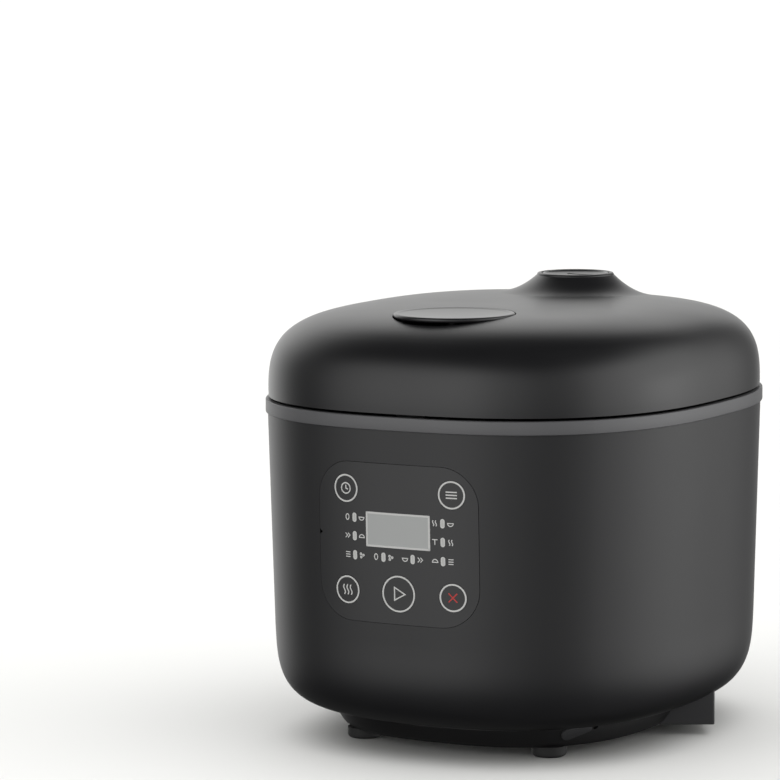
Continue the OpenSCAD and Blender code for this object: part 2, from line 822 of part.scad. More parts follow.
module steam_duct_seal() {
    color([0.55, 0.55, 0.55]) translate([0, chimney_y, 0]) rotate_extrude() polygon([
        [12.5, 177.6], [17, 177.6], [17, 180.4], [12.5, 180.4]
    ]);
}

// Cap that lifts out of the chimney for washing, with its slotted top and cup
module steam_vent_cap() {
    color([0.13, 0.13, 0.135]) translate([0, chimney_y, 0]) difference() {
        rotate_extrude() polygon([
            [0, chimney_top_z - 1.9], [10, chimney_top_z - 1.6], [cap_r - 2, chimney_top_z - 0.8],
            [cap_r - 1, chimney_top_z - 0.2], [cap_r, chimney_top_z - 0.4], [cap_r, cap_lip_z],
            [13.8, cap_lip_z], [13.8, 203], [12.4, 203], [12.4, cap_lip_z - 0.5], [0, cap_lip_z - 0.5]
        ]);
        for (side = [-1, 1]) block([-8, side * 6 - 1.2, 200], [8, side * 6 + 1.2, 250]);
    }
}

// ---- Release button and latch --------------------------------------------------

module release_button() {
    r = button_d / 2;
    low = button_top_z - button_t;
    color([0.13, 0.13, 0.135]) translate([0, -button_y, 0]) rotate_extrude() polygon([
        [0, stem_end_z], [stem_r, stem_end_z], [stem_r, low], [r - 1.6, low],
        [r - 0.4, low + 0.7], [r, low + 1.5], [r - 0.7, button_top_z], [r - 3.6, button_top_z],
        [r - 4.4, button_top_z - 0.5], [0, button_top_z - 0.9]
    ]);
}

// Rocking lever: a pad under the button, a hub on the pin and a hooked leg
module latch_hook() {
    color([0.15, 0.15, 0.155]) difference() {
        translate([-8, 0, 0]) rotate([90, 0, 90]) linear_extrude(16) union() {
            polygon([
                [latch_y - 13.5, latch_z + 2], [latch_y - 13.5, nose_z], [latch_y - 8, nose_z],
                [latch_y - 7.6, nose_z + 0.8], [latch_y - 7.6, nose_z + 2.3],
                [latch_y - 10.5, nose_z + 2.3], [latch_y - 10.5, latch_z - 4],
                [latch_y, latch_z - 4.5], [latch_y + 4, latch_z],
                [-button_y + 6, pad_top_z - 3], [-button_y + 6, pad_top_z],
                [latch_y + 2, pad_top_z], [latch_y - 10, latch_z + 5]
            ]);
        }
        translate([-20, latch_y, latch_z]) rotate([0, 90, 0]) cylinder(r = pin_r + RUN, h = 40);
    }
}

module latch_bracket() {
    color([0.3, 0.3, 0.31]) difference() {
        for (side = [-1, 1]) union() {
            block([side * 10.2 - 1.8, latch_y - 5, liner_z + liner_t],
                  [side * 10.2 + 1.8, latch_y + 5, latch_z]);
            translate([side * 10.2 - 1.8, latch_y, latch_z]) rotate([0, 90, 0]) cylinder(r = 5, h = 3.6);
        }
        translate([-20, latch_y, latch_z]) rotate([0, 90, 0]) cylinder(r = pin_r, h = 40);
    }
}

module latch_pin() {
    color([0.75, 0.75, 0.76]) translate([-12, latch_y, latch_z]) rotate([0, 90, 0])
        cylinder(r = pin_r, h = 24);
}

module latch_spring() {
    color([0.6, 0.6, 0.6]) translate([0, -button_y, liner_z + liner_t + 0.1]) coil(4, 0.5, 18, 6);
}

outer_body();
base_plate();
front_feet();
rear_feet();
trim_ring();
upper_frame();
inlet_housing();
inlet_socket();
inlet_pins();
base_screws();
control_panel();
lcd_window();
lcd_module();
indicator_lights();
control_board();
key_switches();
board_screws();
timer_key();
menu_key();
keep_warm_key();
cancel_key();
start_key();
pot_housing();
side_heater();
heating_plate();
plate_supports();
sensor_guide();
temperature_sensor();
sensor_spring();
thermal_fuse();
power_board();
power_relay();
transformer();
filter_capacitor();
power_board_screws();
mains_leads();
heater_leads();
panel_lead();
inner_pot();
latch_catch();
hinge_bracket();
hinge_pin();
hinge_spring();
lid_shell();
lid_liner();
lid_hinge_arms();
hinge_arm_screws();
inner_lid();
inner_lid_gasket();
inner_lid_knob();
steam_duct();
steam_duct_seal();
steam_vent_cap();
release_button();
latch_hook();
latch_bracket();
latch_pin();
latch_spring();
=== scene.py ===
# %% [markdown]
# # A rice cooker, piece by piece
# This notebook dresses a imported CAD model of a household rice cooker: a softly
# squared black casing, a domed lid that swings up at the back, a flush control
# panel and a steam chimney. The CAD part is the fixed frame. Each visible piece
# is rebuilt here as a finer mesh in the same place, or keeps its CAD mesh and
# gets a finish.

import math

import bmesh
import bpy
import numpy as np
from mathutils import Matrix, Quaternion, Vector
from mathutils.geometry import delaunay_2d_cdt


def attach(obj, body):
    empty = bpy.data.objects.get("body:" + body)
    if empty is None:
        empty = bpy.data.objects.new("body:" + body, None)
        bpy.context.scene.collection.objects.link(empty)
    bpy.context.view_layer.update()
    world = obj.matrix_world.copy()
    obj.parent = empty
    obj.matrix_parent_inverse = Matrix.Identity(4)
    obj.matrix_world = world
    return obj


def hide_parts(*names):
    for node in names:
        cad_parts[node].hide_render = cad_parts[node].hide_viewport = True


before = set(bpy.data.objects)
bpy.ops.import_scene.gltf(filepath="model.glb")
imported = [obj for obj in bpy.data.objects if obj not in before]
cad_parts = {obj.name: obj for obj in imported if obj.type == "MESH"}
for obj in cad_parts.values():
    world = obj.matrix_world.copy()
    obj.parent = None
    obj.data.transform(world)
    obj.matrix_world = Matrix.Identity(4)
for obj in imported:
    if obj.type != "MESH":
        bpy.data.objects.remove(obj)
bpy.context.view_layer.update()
MM = 0.001

# %% [markdown]
# ## One function for every node
# A material in Blender is a small graph. The graphs below are built with a single
# helper: it adds a node, sets its properties or unlinked sockets, and links its
# other sockets. Colours are written as sRGB hex, as on a swatch, and one function
# turns them into the linear numbers that the renderer adds up.

# %% Colours and nodes
def linear(swatch):
    """Linear RGBA of an sRGB hex colour such as #2b2b2d."""
    parts = [int(swatch[i : i + 2], 16) / 255 for i in (1, 3, 5)]
    return [p / 12.92 if p <= 0.04045 else ((p + 0.055) / 1.055) ** 2.4 for p in parts] + [1]


def add(tree, kind, settings=(), links=()):
    """Adds a node; settings are its properties or socket values, links are socket: source."""
    made = tree.nodes.new(kind)
    for key, value in dict(settings).items():
        if key in made.inputs:
            made.inputs[key].default_value = value
        else:
            setattr(made, key, value)
    for key, source in dict(links).items():
        tree.links.new(source, made.inputs[key])
    return made


finishes = {}


def new_finish(name, settings):
    """An empty material with its Principled node, and the object's own coordinates in metres."""
    finish = bpy.data.materials.new(name)
    finish.use_nodes = True
    tree = finish.node_tree
    tree.nodes.clear()
    shader = add(tree, "ShaderNodeBsdfPrincipled", settings)
    add(tree, "ShaderNodeOutputMaterial", links={"Surface": shader.outputs["BSDF"]})
    place = add(tree, "ShaderNodeTexCoord").outputs["Object"]
    finishes[name] = finish
    return tree, shader, place


def tone_and_grain(tree, shader, place, tones, rough, patch, grain, depth, stretch=(1, 1, 1)):
    """Mottles colour and roughness over patches, and adds a fine grain. Lengths in mm."""
    cloud = add(tree, "ShaderNodeTexNoise", {"Scale": 1 / (patch * MM), "Detail": 3.0},
                {"Vector": place}).outputs["Fac"]
    mottled = add(tree, "ShaderNodeMix", {"data_type": "RGBA"}, {"Factor": cloud})
    mottled.inputs[6].default_value, mottled.inputs[7].default_value = map(linear, tones)
    tree.links.new(mottled.outputs[2], shader.inputs["Base Color"])
    wear = add(tree, "ShaderNodeMapRange", {"To Min": rough[0], "To Max": rough[1]}, {"Value": cloud})
    tree.links.new(wear.outputs["Result"], shader.inputs["Roughness"])
    laid = add(tree, "ShaderNodeMapping", {"Scale": stretch}, {"Vector": place}).outputs["Vector"]
    grit = add(tree, "ShaderNodeTexNoise", {"Scale": 1 / (grain * MM), "Detail": 2.0},
               {"Vector": laid}).outputs["Fac"]
    bump = add(tree, "ShaderNodeBump", {"Strength": 1.0, "Distance": depth * MM}, {"Height": grit})
    tree.links.new(bump.outputs["Normal"], shader.inputs["Normal"])
    return mottled


print("linear value of mid grey:", round(linear("#808080")[0], 3))

# %% [markdown]
# ## Moulded plastics
# The casing and lid are injection-moulded ABS with a fine satin texture from the
# mould: light spreads into a broad soft sheen, and at a grazing angle the top of
# the lid mirrors the pale room. ABS has an IOR of about 1.54. The real grit of
# such a mould is near 0.05 mm, too fine to show here, so it is drawn at 0.5 mm
# and kept very shallow.

# %% Plastic finishes
ABS_IOR, PP_IOR = 1.54, 1.49


def moulded_plastic(name, tones, rough, grain=0.5, depth=0.006, patch=30.0, ior=ABS_IOR):
    """Plastic between two tones and two roughnesses, with a grain of some mm width and depth."""
    tree, shader, place = new_finish(name, {"IOR": ior})
    tone_and_grain(tree, shader, place, tones, rough, patch, grain, depth)


moulded_plastic("casing_satin_abs", ("#242426", "#272729"), (0.40, 0.44))
moulded_plastic("lid_satin_abs", ("#222224", "#252527"), (0.32, 0.36))
moulded_plastic("base_matt_abs", ("#181819", "#1c1c1d"), (0.50, 0.58), 0.6, 0.01)
moulded_plastic("trim_grey_abs", ("#68686a", "#6e6e70"), (0.42, 0.47))
moulded_plastic("inlet_matt_abs", ("#39393b", "#3e3e40"), (0.55, 0.62), 0.6, 0.01)
moulded_plastic("button_satin_abs", ("#232325", "#272729"), (0.27, 0.30))
moulded_plastic("vent_satin_pp", ("#2a2a2c", "#2f2f31"), (0.26, 0.30), ior=PP_IOR)
moulded_plastic("frame_matt_pp", ("#262628", "#2b2b2d"), (0.45, 0.52), 0.6, 0.01, ior=PP_IOR)
moulded_plastic("nylon_black", ("#1b1b1c", "#222223"), (0.48, 0.56), 0.8, 0.01)
moulded_plastic("relay_blue_pbt", ("#1d3f77", "#234a88"), (0.40, 0.50))
moulded_plastic("cable_brown_pvc", ("#4a2f22", "#553729"), (0.45, 0.55), 0.8, 0.01)
moulded_plastic("cable_white_pvc", ("#cfcdc4", "#dad8d0"), (0.45, 0.55), 0.8, 0.01)
print("plastics:", len(finishes))

# %% [markdown]
# ## The plan outline
# Seen from above the cooker is a squared ellipse: rounder than a rectangle, fuller
# than an ellipse. One power sets how square it is. Every casing part is a stack of
# such outlines, so one function gives them all, and the walls are smooth because
# each stack has many closely spaced rings rather than a smoothing modifier, which
# would draw the shape in.

# %% Outline and body sections
DEPTH_RATIO, PLAN_POWER = 1.133, 2.6
ROUND = 240
turns = np.arange(ROUND) * 2 * math.pi / ROUND


def outline(half, power=PLAN_POWER, inset=0.0, angles=turns):
    """Plan points of the squared ellipse in mm, drawn in by a wall thickness."""
    hx, hy = half - inset, half * DEPTH_RATIO - inset
    c, s = np.cos(angles), np.sin(angles)
    reach = ((abs(c) / hx) ** power + (abs(s) / hy) ** power) ** (-1 / power)
    return reach * c, reach * s


BAND_Z, BAND_TOP, CREASE_Z, CORNER_Z, UNDER_Z = 172.6, 179.6, 16.5, 60.2, 16.1
BODY_TOP_HALF, TAPER, UNDER_HALF = 119.0, 0.025, 76.0
CORNER_HALF = BODY_TOP_HALF - TAPER * (BAND_Z - CORNER_Z)
CORNER_DROP, CORNER_TURN = 3.5, 3.2
LOWER_POWER = PLAN_POWER - 0.15
crease_angle = math.asin(((CORNER_Z - CREASE_Z) / (CORNER_Z - UNDER_Z)) ** (CORNER_DROP / 2))

body_rows = []
for a in np.linspace(crease_angle, 0, 46):
    drop, turn = math.sin(a) ** (2 / CORNER_DROP), math.cos(a) ** (2 / CORNER_TURN)
    body_rows.append((CORNER_Z - (CORNER_Z - UNDER_Z) * drop,
                      UNDER_HALF + (CORNER_HALF - UNDER_HALF) * turn,
                      PLAN_POWER + (LOWER_POWER - PLAN_POWER) * drop))
for z in np.linspace(CORNER_Z, BAND_Z, 40)[1:]:
    body_rows.append((z, BODY_TOP_HALF - TAPER * (BAND_Z - z), PLAN_POWER))
print("body sections:", len(body_rows))


def body_front(x, z):
    """Distance of the body's front face in front of the centre, in mm."""
    half = BODY_TOP_HALF - TAPER * (BAND_Z - z)
    return -half * DEPTH_RATIO * (1 - (abs(x) / half) ** PLAN_POWER) ** (1 / PLAN_POWER)


# %% [markdown]
# ## Rings to a mesh
# A wall is a list of rings with the same number of points. Joining neighbouring
# rings gives quads. If the list runs up the outside, over the lip and down the
# inside, the first and last ring can be joined too and the shell is closed.

# %% Mesh helpers
def join_rings(rings, closed=False):
    """Quads between rings of (n, 3) points. Returns points and faces."""
    n = len(rings[0])
    pairs = list(zip(range(len(rings)), range(1, len(rings))))
    if closed:
        pairs.append((len(rings) - 1, 0))
    faces = [(a * n + i, a * n + (i + 1) % n, b * n + (i + 1) % n, b * n + i)
             for a, b in pairs for i in range(n)]
    return np.vstack(rings), faces


def ring3(x, y, z):
    """Ring of points from a plan and a height."""
    return np.column_stack([x, y, np.broadcast_to(z, np.shape(x))])


def capped(rings, mark=0):
    """Closed part from rings, with a flat face on the first and the last."""
    points, faces = join_rings(rings)
    n = len(rings[0])
    return points, faces + [tuple(range(n))] + [tuple(range(len(points) - n, len(points)))], mark


SHARP_ANGLE, WELD_MM = math.radians(32.0), 0.004


def make_mesh(name, parts):
    """One mesh from several (points in mm, faces, material number), welded and shaded smooth."""
    points, faces, marks, count = [], [], [], 0
    for part_points, part_faces, mark in parts:
        points.append(np.asarray(part_points, float))
        faces += [tuple(int(v) + count for v in f) for f in part_faces]
        marks += [mark] * len(part_faces)
        count += len(part_points)
    mesh = bpy.data.meshes.new(name)
    mesh.from_pydata((np.vstack(points) * MM).tolist(), [], faces)
    mesh.polygons.foreach_set("material_index", marks)
    work = bmesh.new()
    work.from_mesh(mesh)
    bmesh.ops.remove_doubles(work, verts=work.verts, dist=WELD_MM * MM)
    bmesh.ops.recalc_face_normals(work, faces=work.faces)
    work.to_mesh(mesh)
    work.free()
    mesh.shade_smooth()
    mesh.set_sharp_from_angle(angle=SHARP_ANGLE)
    return mesh


print("points on a ring:", ROUND, "and its length in mm:", round(2 * BODY_TOP_HALF * (1 + DEPTH_RATIO)))

# %% [markdown]
# ## Placing and cutting
# A finished mesh is placed on the CAD body that it rides, with its finishes, and
# says which CAD nodes it replaces. Pockets, slots and recesses are cut with an
# exact Boolean: the edge is crisp and lies where the cutter does, which a bump
# or a bevel would only imitate.

# %% Placing and cutting
def place_piece(name, mesh, body, nodes, finish_names):
    """Puts a mesh in the scene with its finishes, on a CAD body, in place of CAD nodes."""
    piece = bpy.data.objects.new(name, mesh)
    bpy.context.scene.collection.objects.link(piece)
    for finish in finish_names:
        mesh.materials.append(finishes[finish])
    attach(piece, body)
    if nodes:
        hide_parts(*nodes)
    print(f"{name}: {len(mesh.vertices)} points on {body}")


def cut(mesh, *cutters):
    """The mesh with each cutter's volume taken away by an exact Boolean."""
    target = bpy.data.objects.new("target", mesh)
    bpy.context.scene.collection.objects.link(target)
    tools = []
    for cutter in cutters:
        tool = bpy.data.objects.new("cutter", cutter)
        bpy.context.scene.collection.objects.link(tool)
        step = target.modifiers.new("cut", "BOOLEAN")
        step.operation, step.solver, step.object = "DIFFERENCE", "EXACT", tool
        tools.append(tool)
    graph = bpy.context.evaluated_depsgraph_get()
    done = bpy.data.meshes.new_from_object(target.evaluated_get(graph))
    for gone in (target, *tools):
        bpy.data.objects.remove(gone)
    done.materials.clear()
    done.shade_smooth()
    done.set_sharp_from_angle(angle=SHARP_ANGLE)
    return done


def box_mesh(name, low, high):
    """Closed box between two corners in mm, for cutting."""
    (x0, y0, z0), (x1, y1, z1) = low, high
    corners = [(x0, y0), (x1, y0), (x1, y1), (x0, y1)]
    return make_mesh(name, [capped([[(x, y, z) for x, y in corners] for z in (z0, z1)])])


print("edges sharper than", round(math.degrees(SHARP_ANGLE)), "degrees stay crisp")

# %% [markdown]
# ## Outlines on the panel
# The control panel is described in its own plane: x across, up along the panel.
# Loops are plain lists of points, and the same loops serve for the film, the
# holes in it, the keys that fill the holes and the pocket in the casing.

# %% Panel loops
PANEL_Z = 114.5
PANEL_X, PANEL_W, PANEL_H, PANEL_CORNER = -1.9, 92.0, 82.0, 20.0
SMALL_KEY_R, START_KEY_R = 7.5, 9.7
KEYS = {"timer_key": (-30.3, 27.1, SMALL_KEY_R), "menu_key": (30.3, 27.1, SMALL_KEY_R),
        "keep_warm_key": (-30.3, -25.3, SMALL_KEY_R), "cancel_key": (30.3, -25.3, SMALL_KEY_R),
        "start_key": (0.0, -25.3, START_KEY_R)}
LCD_W, LCD_H, LCD_UP = 36.8, 18.0, 7.0
LIGHT_W, LIGHT_H = 2.4, 4.8
LIGHTS = [(s * 25.3, up) for s in (-1, 1) for up in (12.4, 2.85, -6.95)] + [(-8.4, -6.95), (8.4, -6.95)]


def circle_loop(x, up, r, n=64):
    """Circle, anticlockwise."""
    return [(x + r * math.cos(a), up + r * math.sin(a)) for a in np.arange(n) * 2 * math.pi / n]


def rounded_loop(x, up, w, h, r, steps=12):
    """Rounded rectangle, anticlockwise."""
    corners = [(1, 1, 0), (-1, 1, 90), (-1, -1, 180), (1, -1, 270)]
    return [(x + sx * (w / 2 - r) + r * math.cos(math.radians(a0 + a)),
             up + sy * (h / 2 - r) + r * math.sin(math.radians(a0 + a)))
            for sx, sy, a0 in corners for a in np.linspace(0, 90, steps)]


def dense(loop, spacing=2.0):
    """The loop with points added so that none are further apart than spacing."""
    out = []
    for (x0, u0), (x1, u1) in zip(loop, loop[1:] + loop[:1]):
        n = max(1, math.ceil(math.hypot(x1 - x0, u1 - u0) / spacing))
        out += [(x0 + (x1 - x0) * i / n, u0 + (u1 - u0) * i / n) for i in range(n)]
    return out


def inside(x, u, loop):
    """True if the point is inside the loop."""
    hit = False
    for (x0, u0), (x1, u1) in zip(loop, loop[1:] + loop[:1]):
        if (u0 > u) != (u1 > u) and x < (x1 - x0) * (u - u0) / (u1 - u0) + x0:
            hit = not hit
    return hit


print("panel:", PANEL_W, "by", PANEL_H, "mm, start key ring inside", 2 * START_KEY_R, "mm")

# %% [markdown]
# ## A plate on the curved front
# The film, the keys, the window and the lamps all lie on the casing's curved front.
# Each is a flat outline with holes, filled with a Delaunay triangulation of evenly
# spaced points, and every point is then moved back onto the front. A grid cut to
# shape would leave ragged edges.

# %% Panel plates
def panel_plate(outer, holes, proud, back, mark=0, spacing=2.5):
    """Plate that follows the body's front: proud of it by some mm, and back mm thick behind it."""
    loops = [dense(loop) for loop in (outer, *holes)]
    border, edges = [], []
    for loop in loops:
        start, n = len(border), len(loop)
        border += loop
        edges += [(start + i, start + (i + 1) % n) for i in range(n)]

    def on_plate(x, u):
        return inside(x, u, loops[0]) and not any(inside(x, u, hole) for hole in loops[1:])

    flat = list(border)
    (low_x, low_u), (high_x, high_u) = np.min(loops[0], 0), np.max(loops[0], 0)
    for x in np.arange(low_x + spacing / 2, high_x, spacing):
        for u in np.arange(low_u + spacing / 2, high_u, spacing):
            near = min((x - px) ** 2 + (u - pu) ** 2 for px, pu in border)
            if near > (0.4 * spacing) ** 2 and on_plate(x, u):
                flat.append((x, u))
    made, _, triangles = delaunay_2d_cdt([Vector(p) for p in flat], edges, [], 0, 1e-5)[:3]
    kept = [tuple(t) for t in triangles
            if on_plate(*(sum(made[v][k] for v in t) / len(t) for k in (0, 1)))]
    n = len(made)
    front = [(x, body_front(x, PANEL_Z + u) - proud, PANEL_Z + u) for x, u in made]
    rear = [(x, y + proud + back, z) for x, y, z in front]
    sides = dict.fromkeys((a, b) for t in kept for a, b in zip(t, t[1:] + t[:1]))
    faces = kept + [tuple(v + n for v in t[::-1]) for t in kept]
    faces += [(b, a, a + n, b + n) for a, b in sides if (b, a) not in sides]
    return front + rear, faces, mark


print("front of the casing at the panel's middle, y in mm:", round(body_front(PANEL_X, PANEL_Z), 1))

# %% [markdown]
# ## The casing
# The real casing is one moulded plastic shell: nearly straight walls that lean in
# slightly, then a large soft corner that rolls under to a crease at the base. Its
# rings run up the outside and down the inside. The pocket at the front for the
# panel is cut with a Boolean.

# %% Casing
CASING_WALL, PANEL_GAP = 3.0, 0.22
casing_rings = [ring3(*outline(half, power), z) for z, half, power in body_rows[:-1]]
casing_rings.append(ring3(*outline(BODY_TOP_HALF), BAND_Z))
inner_rows = [(BAND_Z - 0.2, BODY_TOP_HALF - 0.01, PLAN_POWER)] + body_rows[-2::-3]
casing_rings += [ring3(*outline(half, power, CASING_WALL), max(z, CREASE_Z + CASING_WALL))
                 for z, half, power in inner_rows]
casing_mesh = make_mesh("outer_body", [(*join_rings(casing_rings, closed=True), 0)])
pocket_loop = rounded_loop(PANEL_X, 0, PANEL_W + 2 * PANEL_GAP, PANEL_H + 2 * PANEL_GAP,
                           PANEL_CORNER + PANEL_GAP, 24)
pocket = make_mesh("pocket", [capped([[(x, y, PANEL_Z + u) for x, u in pocket_loop] for y in (-150, -110)])])
place_piece("casing", cut(casing_mesh, pocket), "housing", ["outer_body"], ["casing_satin_abs"])

# %% [markdown]
# ## The trim band
# A lighter grey band runs round the top of the casing. It stands 1 mm proud and
# its edges are slightly broken, as every moulded edge is, so the light catches it.
# At the back it steps down, because the lid's rear edge swings through there.

# %% Trim band
BAND_HALF, BAND_THICK, EDGE = 120.0, 2.7, 0.5
quarter = np.linspace(0, math.pi / 2, 5)
band_profile = [(BAND_HALF - EDGE + EDGE * math.sin(a), BAND_Z + EDGE - EDGE * math.cos(a)) for a in quarter]
band_profile += [(BAND_HALF - EDGE + EDGE * math.cos(a), BAND_TOP - EDGE + EDGE * math.sin(a)) for a in quarter]
band_rings = [ring3(*outline(half), z) for half, z in band_profile]
band_rings += [ring3(*outline(BAND_HALF, inset=BAND_THICK), z) for z in (BAND_TOP, BAND_Z)]
rear_step = box_mesh("rear_step", (-62, 110, 177.4), (62, 150, BAND_TOP + 1))
place_piece("trim_band", cut(make_mesh("trim_band", [(*join_rings(band_rings, True), 0)]), rear_step),
            "housing", ["trim_ring"], ["trim_grey_abs"])

# %% [markdown]
# ## Film, ink and lamps
# The panel is a screen-printed polyester film with a fine matt coat. It is almost
# the same black as the casing, a little smoother. Its white ink is a flat, opaque
# layer, so it only scatters light. The window over the display is the same film
# left clear, over a grey reflective display, and the lamps are frosted acrylic.

# %% Panel finishes
moulded_plastic("panel_matt_polyester", ("#28282a", "#2a2a2c"), (0.38, 0.41), 0.35, 0.002, 18.0, ior=1.57)
moulded_plastic("key_matt_polyester", ("#262628", "#28282a"), (0.38, 0.41), 0.35, 0.002, 18.0, ior=1.57)
moulded_plastic("ink_white", ("#efefed", "#f6f6f4"), (0.55, 0.62), 0.3, 0.002, 6.0)
moulded_plastic("ink_red", ("#d8423f", "#e04a47"), (0.55, 0.62), 0.3, 0.002, 6.0)
moulded_plastic("lamp_frosted_acrylic", ("#dcdcda", "#e6e6e4"), (0.30, 0.38), 0.3, 0.003, 3.0, ior=1.49)
moulded_plastic("display_grey_polariser", ("#c4c6c5", "#c8cac9"), (0.22, 0.26), 0.25, 0.001, 22.0, ior=1.50)
print("finishes so far:", len(finishes))

# %% [markdown]
# ## The control panel film
# The film lies flush in its pocket with a hair-thin gap all round, and a small
# notch half way up its left edge, where it was located for printing. The keys, the
# display and the lamps fill holes in it, each with a gap too narrow to see into.

# %% Panel film
KEY_GAP, FILM_PROUD, FILM_DEPTH = 0.12, 0.1, 3.0
film_loop = rounded_loop(PANEL_X, 0, PANEL_W, PANEL_H, PANEL_CORNER, 20)
film_left = PANEL_X - PANEL_W / 2
notch = [(film_left, 4.6), (film_left + 1.9, 3.2), (film_left, 1.8)]
left = max(i for i, p in enumerate(film_loop) if p[0] < film_left + 0.01 and p[1] > 3)
film_loop = film_loop[: left + 1] + notch + film_loop[left + 1 :]


def pill_loop(x, up, w, h):
    """Upright pill, a rounded loop with full round ends."""
    return rounded_loop(x, up, w, h, w / 2 - 1e-3, 8)


film_holes = [circle_loop(x, up, r + KEY_GAP) for x, up, r in KEYS.values()]
film_holes.append(rounded_loop(0, LCD_UP, LCD_W + 0.1, LCD_H + 0.1, 0.4, 4))
film_holes += [pill_loop(x, up, LIGHT_W + 0.06, LIGHT_H + 0.06) for x, up in LIGHTS]
film = panel_plate(film_loop, film_holes, FILM_PROUD, FILM_DEPTH)
place_piece("panel_film", make_mesh("panel_film", [film]), "housing", ["control_panel"],
            ["panel_matt_polyester"])

# %% [markdown]
# ## Printed signs
# The print is drawn as strokes: each stroke is a path and a width. A stroke becomes
# a strip of ink that follows the panel's curve. Real ink is 0.01 mm thick. Here it
# stands 0.06 mm above the film, so that it never sinks into the curve between its
# points, which are 1.5 mm apart at most. The signs are generic pictograms: a clock
# for the timer, a list for the menu, steam for keep warm, a cross for cancel and
# an arrow for start.

# %% Strokes of ink
INK_PROUD, INK_BACK, INK_STEP = 0.16, 0.5, 1.5


def stroke(path, width, mark, closed=False):
    """Strip of ink along a path of (x, up) points."""
    corners = [Vector(p) for p in path]
    path = []
    for a, b in zip(corners, corners[1:] + corners[:closed]):
        steps = max(1, math.ceil((b - a).length / INK_STEP))
        path += [a.lerp(b, k / steps) for k in range(steps)]
    if not closed:
        path.append(corners[-1])
    n = len(path)
    left_side, right_side = [], []
    for i, p in enumerate(path):
        before = path[i - 1] if closed or i else p
        after = path[(i + 1) % n] if closed or i < n - 1 else p
        one = (p - before).normalized() if p != before else (after - p).normalized()
        two = (after - p).normalized() if p != after else one
        mid = (one + two).normalized()
        reach = min(2.0, 1 / max(0.3, mid.dot(one))) * width / 2
        across = Vector((-mid.y, mid.x)) * reach
        left_side.append(p + across)
        right_side.append(p - across)
    flat = left_side + right_side
    top = [(x, body_front(x, PANEL_Z + u) - INK_PROUD, PANEL_Z + u) for x, u in flat]
    low = [(x, y + INK_BACK, z) for x, y, z in top]
    faces = []
    for i in range(n if closed else n - 1):
        j = (i + 1) % n
        faces += [(i, j, n + j, n + i), (2 * n + i, 3 * n + i, 3 * n + j, 2 * n + j),
                  (i, 2 * n + i, 2 * n + j, j), (n + i, n + j, 3 * n + j, 3 * n + i)]
    if not closed:
        faces += [(0, n, 3 * n, 2 * n), (n - 1, 3 * n - 1, 4 * n - 1, 2 * n - 1)]
    return top + low, faces, mark


def wavy(x, up, height, sway, steps=14):
    """Upright path of one wave."""
    return [(x + sway * math.sin(2 * math.pi * t), up + height * (t - 0.5)) for t in np.linspace(0, 1, steps)]


def arc_path(x, up, r, start, end, steps=20):
    """Arc between two angles in degrees."""
    return [(x + r * math.cos(math.radians(a)), up + r * math.sin(math.radians(a)))
            for a in np.linspace(start, end, steps)]


def sign_strokes(kind, x, up, k):
    """Paths of a pictogram k mm high, centred at a point: (path, closed) pairs."""
    h = k / 2
    signs = {
        "clock": [(arc_path(x, up, h, 0, 348, 30), True),
                  ([(x, up + 0.62 * h), (x, up), (x + 0.5 * h, up - 0.22 * h)], False)],
        "list": [([(x - 1.35 * h, up + dy * h), (x + 1.35 * h, up + dy * h)], False) for dy in (0.7, 0, -0.7)],
        "steam": [(wavy(x + dx * h, up, k, 0.2 * h), False) for dx in (-0.8, 0, 0.8)],
        "cross": [([(x - h, up + h), (x + h, up - h)], False), ([(x - h, up - h), (x + h, up + h)], False)],
        "arrow": [([(x - 0.7 * h, up + h), (x + 1.1 * h, up), (x - 0.7 * h, up - h)], True)],
        "bowl": [(arc_path(x, up + 0.2 * h, h, 180, 360, 14), True)],
        "grain": [([(x + 0.62 * h * math.cos(a), up + h * math.sin(a))
                    for a in np.linspace(0, 2 * math.pi, 15)[:-1]], True)],
        "fast": [([(x - 0.9 * h, up + 0.8 * h), (x - 0.1 * h, up), (x - 0.9 * h, up - 0.8 * h)], False),
                 ([(x + 0.1 * h, up + 0.8 * h), (x + 0.9 * h, up), (x + 0.1 * h, up - 0.8 * h)], False)],
        "waves": [(wavy(x + dx * h, up, k, 0.22 * h, steps=9), False) for dx in (-0.5, 0.5)],
        "lid": [(arc_path(x, up - 0.4 * h, h, 0, 180, 14), True)],
        "drops": [(arc_path(x + dx * h, up + dy * h, 0.32 * h, 0, 330, 8), True)
                  for dx, dy in ((-0.5, 0.5), (0.5, 0.1), (-0.4, -0.6))],
        "bars": [([(x - 0.9 * h, up + dy * h), (x + 0.9 * h, up + dy * h)], False) for dy in (0.8, 0, -0.8)],
        "tee": [([(x - h, up + 0.8 * h), (x + h, up + 0.8 * h)], False),
                ([(x, up + 0.8 * h), (x, up - h)], False)],
    }
    return signs[kind]


def sign(kind, x, up, k, width, mark):
    """Mesh parts of a pictogram."""
    return [stroke(path, width, mark, closed) for path, closed in sign_strokes(kind, x, up, k)]


print("strokes of the clock:", len(sign("clock", 0, 0, 5, 0.6, 1)))

# %% [markdown]
# ## Keys
# Each key is a disc of film in its hole, with a white ring printed near its edge
# and its sign inside. A key rides on its own body, so its print moves with it.

